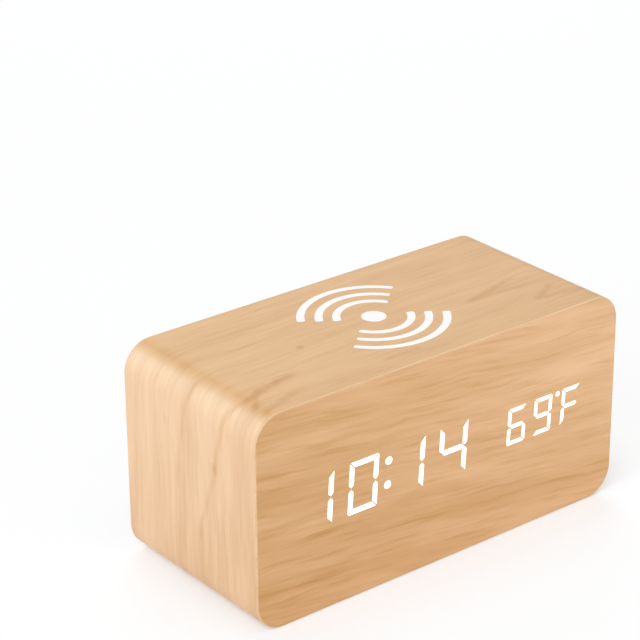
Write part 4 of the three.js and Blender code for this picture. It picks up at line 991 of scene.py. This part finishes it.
def stroke(points, half):
    """A strip of even width along a bent line."""
    sharpest = 0.3
    points = [Vector(point) for point in points]
    pairs = []
    for i, point in enumerate(points):
        before = points[max(i - 1, 0)]
        after = points[min(i + 1, len(points) - 1)]
        first = (point - before).normalized() if i else (after - point).normalized()
        last = (after - point).normalized() if i < len(points) - 1 else first
        along = (first + last).normalized()
        mitre = max(along.dot(first), sharpest)
        side = Vector((-along.y, along.x)) * half / mitre
        pairs.append((point + side, point - side))
    return pairs


def arc_line(x, z, radius, start, end, steps=24):
    turns = [math.radians(start + (end - start) * i / steps) for i in range(steps + 1)]
    return [(x + radius * math.cos(t), z + radius * math.sin(t)) for t in turns]


def ring(x, z, radius, half, steps=32):
    pairs = stroke(arc_line(x, z, radius, 0, 360, steps), half)
    pairs[0] = ((x + radius - half, z), (x + radius + half, z))
    pairs[-1] = pairs[0]
    return pairs


half_line = 0.00018
ring_radius = 0.0011
sign_plates = []
sign_strips = []
set_x, up_x, down_x = 0.0351, 0.0251, 0.0149
key_sign_z, key_dot = 0.0574, 0.00045
sign_strips.append(ring(set_x, key_sign_z, ring_radius, half_line))
sign_plates.append(disc(set_x, key_sign_z, key_dot, steps=16))
tip_half, tip_foot, tip_rise = 0.0012, 0.0008, 0.0011
for x, way in ((up_x, 1), (down_x, -1)):
    foot_z, tip_z = key_sign_z - tip_foot * way, key_sign_z + tip_rise * way
    sign_plates.append([(x - tip_half, foot_z), (x + tip_half, foot_z), (x, tip_z)])
reset_arc = arc_line(x=0.0366, z=0.042, radius=0.001, start=60, end=340)
sign_strips.append(stroke(reset_arc, half_line))
head_x, head_z = reset_arc[0]
arrowhead = ((-0.0002, -0.0007), (0.0009, -0.0002), (0, 0.0006))
sign_plates.append([(head_x + x, head_z + z) for x, z in arrowhead])
pole_x, pole_z = 0.0306, 0.0178
pole_reach, bar_half = 0.0036, 0.0006
dot_edge, cup_edge, ring_edge = 0.00045, 0.00135, 0.00125
for side in (-1, 1):
    end = pole_x + side * pole_reach
    sign_strips.append(ring(end, pole_z, ring_radius, half_line))
    sign_strips.append(stroke([(end - bar_half, pole_z), (end + bar_half, pole_z)], half_line))
    inner = pole_x + (dot_edge if side > 0 else -cup_edge)
    sign_strips.append(stroke([(inner, pole_z), (end - side * ring_edge, pole_z)], half_line))
plus_x, plus_arm = pole_x + pole_reach, 0.00045
for side in (-1, 1):
    start = pole_z + side * half_line
    sign_strips.append(stroke([(plus_x, start), (plus_x, start + side * plus_arm)], half_line))
pole_dot, cup_radius = 0.0005, 0.0012
sign_plates.append(disc(pole_x, pole_z, pole_dot, steps=16))
sign_strips.append(stroke(arc_line(pole_x, pole_z, cup_radius, start=35, end=325), half_line))
panel_signs = raised(
    "panel_signs",
    rim_black,
    sign_plates,
    sign_strips,
    lift=0.0002,
    place=lambda x, z, h: (x, panel_y + h, z),
)
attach(panel_signs, "housing")

# Pole marks in the bay: a raised cross at each cell's button end and a bar at its flat end.
# They are moulded in the floor of the tub.
bay_floor = 0.0208
mark_size, mark_half, mark_lift = 0.0014, 0.0003, 0.00025
cell_rows = (0.05405, 0.04295, 0.03185, 0.02075)
cell_ends = (-0.0015, -0.0325)
bay_strips = []
for i, z in enumerate(cell_rows):
    for x in cell_ends:
        bay_strips.append(stroke([(x - mark_size, z), (x + mark_size, z)], mark_half))
    plus_x = cell_ends[i % 2]
    for side in (-1, 1):
        ends = [(plus_x, z + side * mark_half), (plus_x, z + side * mark_size)]
        bay_strips.append(stroke(ends, mark_half))
bay_marks = raised(
    "bay_marks", panel_black, [], bay_strips, mark_lift, place=lambda x, z, h: (x, bay_floor + h, z)
)
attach(bay_marks, "housing")

# Battery door: a flat black moulding with two hinge tongues, and a springy latch with a finger bar.
# It swings out on the tongues once the latch is pressed.
lid_deep, lid_pale = (0.007, 0.0072, 0.0075, 1), (0.0122, 0.0124, 0.0128, 1)
lid_black = moulded("lid_black", lid_deep, lid_pale, grain=3200, low=0.5, high=0.66, bite=0.00005)
door_lid = dressed_copy("battery_door", "door_lid", (lid_black,), sharp=35, edge=0.00015)
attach(door_lid, "door")

# Battery contacts: nickel plated steel, stamped to flat plates with a pressed nub for each button end.
# A wound spring of plated wire presses on each cell's flat end.
nickel_deep, nickel_pale = (0.56, 0.54, 0.5, 1), (0.72, 0.7, 0.66, 1)
nickel = plated("nickel", nickel_deep, nickel_pale, rub=(3000, 300, 3000), low=0.16, high=0.32)
finish_nodes(nickel, *(f"contact_bridge_{i}" for i in (1, 2, 3)))
finish_nodes(nickel, "contact_positive", "contact_negative")
spring_wire, spring_radius = 0.00035, 0.0024
solder_gap = 0.0003
bay_middle = (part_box("contact_bridge_1")[0].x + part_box("contact_positive")[1].x) / 2
for i in four:
    node = f"contact_spring_{i}"
    low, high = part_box(node)
    from_left = low.x < bay_middle
    way = 1 if from_left else -1
    foot = (low.x if from_left else high.x) + way * (spring_wire - solder_gap)
    middle = (low + high) / 2
    spring_sizes = {
        "Turns": 3.0,
        "First Radius": spring_radius,
        "Last Radius": spring_radius,
        "Rise": high.x - low.x - 2 * spring_wire + solder_gap,
        "Wire": spring_wire,
        "Left": from_left,
        "Place": (foot, middle.y, middle.z),
        "Turn": (way * math.pi / 2, 0, math.pi / 2),
        "Material": nickel,
    }
    spring = grow(f"cell_spring_{i}", wound_wire, [], spring_sizes)
    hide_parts(node)
    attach(spring, "housing")

# Control board: a green board on four bosses of the cover, with its chip, switches and small parts.
# Four screws hold it, and its parts face the holes of the panel.
control_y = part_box("control_board")[1].y
control_face = printed_board(
    "control_face", through=1, low=control_y - board_thick, high=control_y + part_room
)
finish_nodes(control_face, "control_board")
screws("board_screw", axis=1, head_end=0, turn=(math.pi / 2, 0, 0))
switch_deep, switch_pale = (0.008, 0.008, 0.009, 1), (0.016, 0.016, 0.017, 1)
switch_black = moulded(
    "switch_black", switch_deep, switch_pale, grain=2400, low=0.35, high=0.5, bite=0.00003
)
for key in ("set", "up", "down", "reset"):
    finish_nodes(switch_black, f"{key}_switch", f"{key}_plunger")
finish_nodes(switch_black, "buzzer", "temperature_sensor")
microphone = dressed_copy("microphone", "microphone_can", (zinc, mask_black), sharp=35)
can_low, can_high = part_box("microphone")
can_middle = (can_low + can_high) / 2
felt_radius, flat_on = 0.002, 0.9
for face in microphone.data.polygons:
    aside = math.hypot(face.center.x - can_middle.x, face.center.z - can_middle.z)
    face.material_index = 1 if face.normal.y > flat_on and aside < felt_radius else 0
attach(microphone, "housing")

# Push buttons: three black caps that stand a little below the panel, each held by its lip behind it.
# Each cap presses the plunger of a switch on the board.
key_deep, key_pale = (0.009, 0.009, 0.0095, 1), (0.015, 0.015, 0.0155, 1)
key_black = moulded("key_black", key_deep, key_pale, grain=3000, low=0.38, high=0.52, bite=0.00003)
for key in ("set", "up", "down"):
    cap = dressed_copy(f"{key}_button", f"{key}_cap", (key_black,), sharp=35, edge=0.0003)
    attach(cap, f"{key}_key")

# Power socket: a black body with a round bore behind the panel's hole, and a plated pin in its middle.
# Both are soldered to the control board.
socket_body = dressed_copy("dc_jack", "socket_body", (switch_black,), sharp=35, edge=0.00012)
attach(socket_body, "housing")
socket_pin = dressed_copy("dc_jack_pin", "socket_pin", (nickel,), sharp=50)
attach(socket_pin, "housing")

# Round sticker: satin red film stuck on the panel, printed with a plain white tick.
# It is cut as a disc, and lies flat beside the sound hole.
film_bright, film_deep = (0.88, 0.014, 0.02, 1), (0.78, 0.01, 0.016, 1)
satin = {"Specular IOR Level": 0.2}
red_film = clouded(
    "red_film", film_bright, film_deep, 900, 3, rough=0.3, vary=0.15, bite=0.00001, sockets=satin
)
film_low, film_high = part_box("round_sticker")
film_x, film_z = (film_low.x + film_high.x) / 2, (film_low.z + film_high.z) / 2
film_radius = (film_high.z - film_low.z) / 2
sticker = raised(
    "sticker",
    red_film,
    [disc(film_x, film_z, film_radius, steps=64)],
    [],
    lift=film_high.y - film_low.y,
    place=lambda x, z, h: (x, film_low.y + h, z),
)
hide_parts("round_sticker")
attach(sticker, "housing")
tick_points = ((0.0019, 0.0002), (0.0006, -0.0013), (-0.002, 0.0015))
tick = [(film_x + x, film_z + z) for x, z in tick_points]
tick_half, tick_lift = 0.00036, 0.00001
sticker_tick = raised(
    "sticker_tick",
    ink,
    [],
    [stroke(tick, tick_half)],
    lift=tick_lift,
    place=lambda x, z, h: (x, film_high.y + h, z),
)
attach(sticker_tick, "housing")

# Leads: a flat grey ribbon to the display, a grey lead to the charger, and a red and a black one.
# The last two run from the end contacts to the control board. All are soldered.


def sleeve(name, deep, pale, *nodes):
    """Soft sleeve on a wire: matte, and a little uneven."""
    rubber = clouded(name, deep, pale, 1500, 3, rough=0.4, vary=0.2, bite=0.00002)
    finish_nodes(rubber, *nodes)


grey_deep, grey_pale = (0.22, 0.23, 0.25, 1), (0.31, 0.32, 0.34, 1)
sleeve("grey_sleeve", grey_deep, grey_pale, "display_ribbon", "charger_lead")
red_deep, red_pale = (0.36, 0.012, 0.01, 1), (0.46, 0.02, 0.016, 1)
sleeve("red_sleeve", red_deep, red_pale, "battery_lead_positive")
black_deep, black_pale = (0.008, 0.008, 0.009, 1), (0.016, 0.016, 0.018, 1)
sleeve("black_sleeve", black_deep, black_pale, "battery_lead_negative")
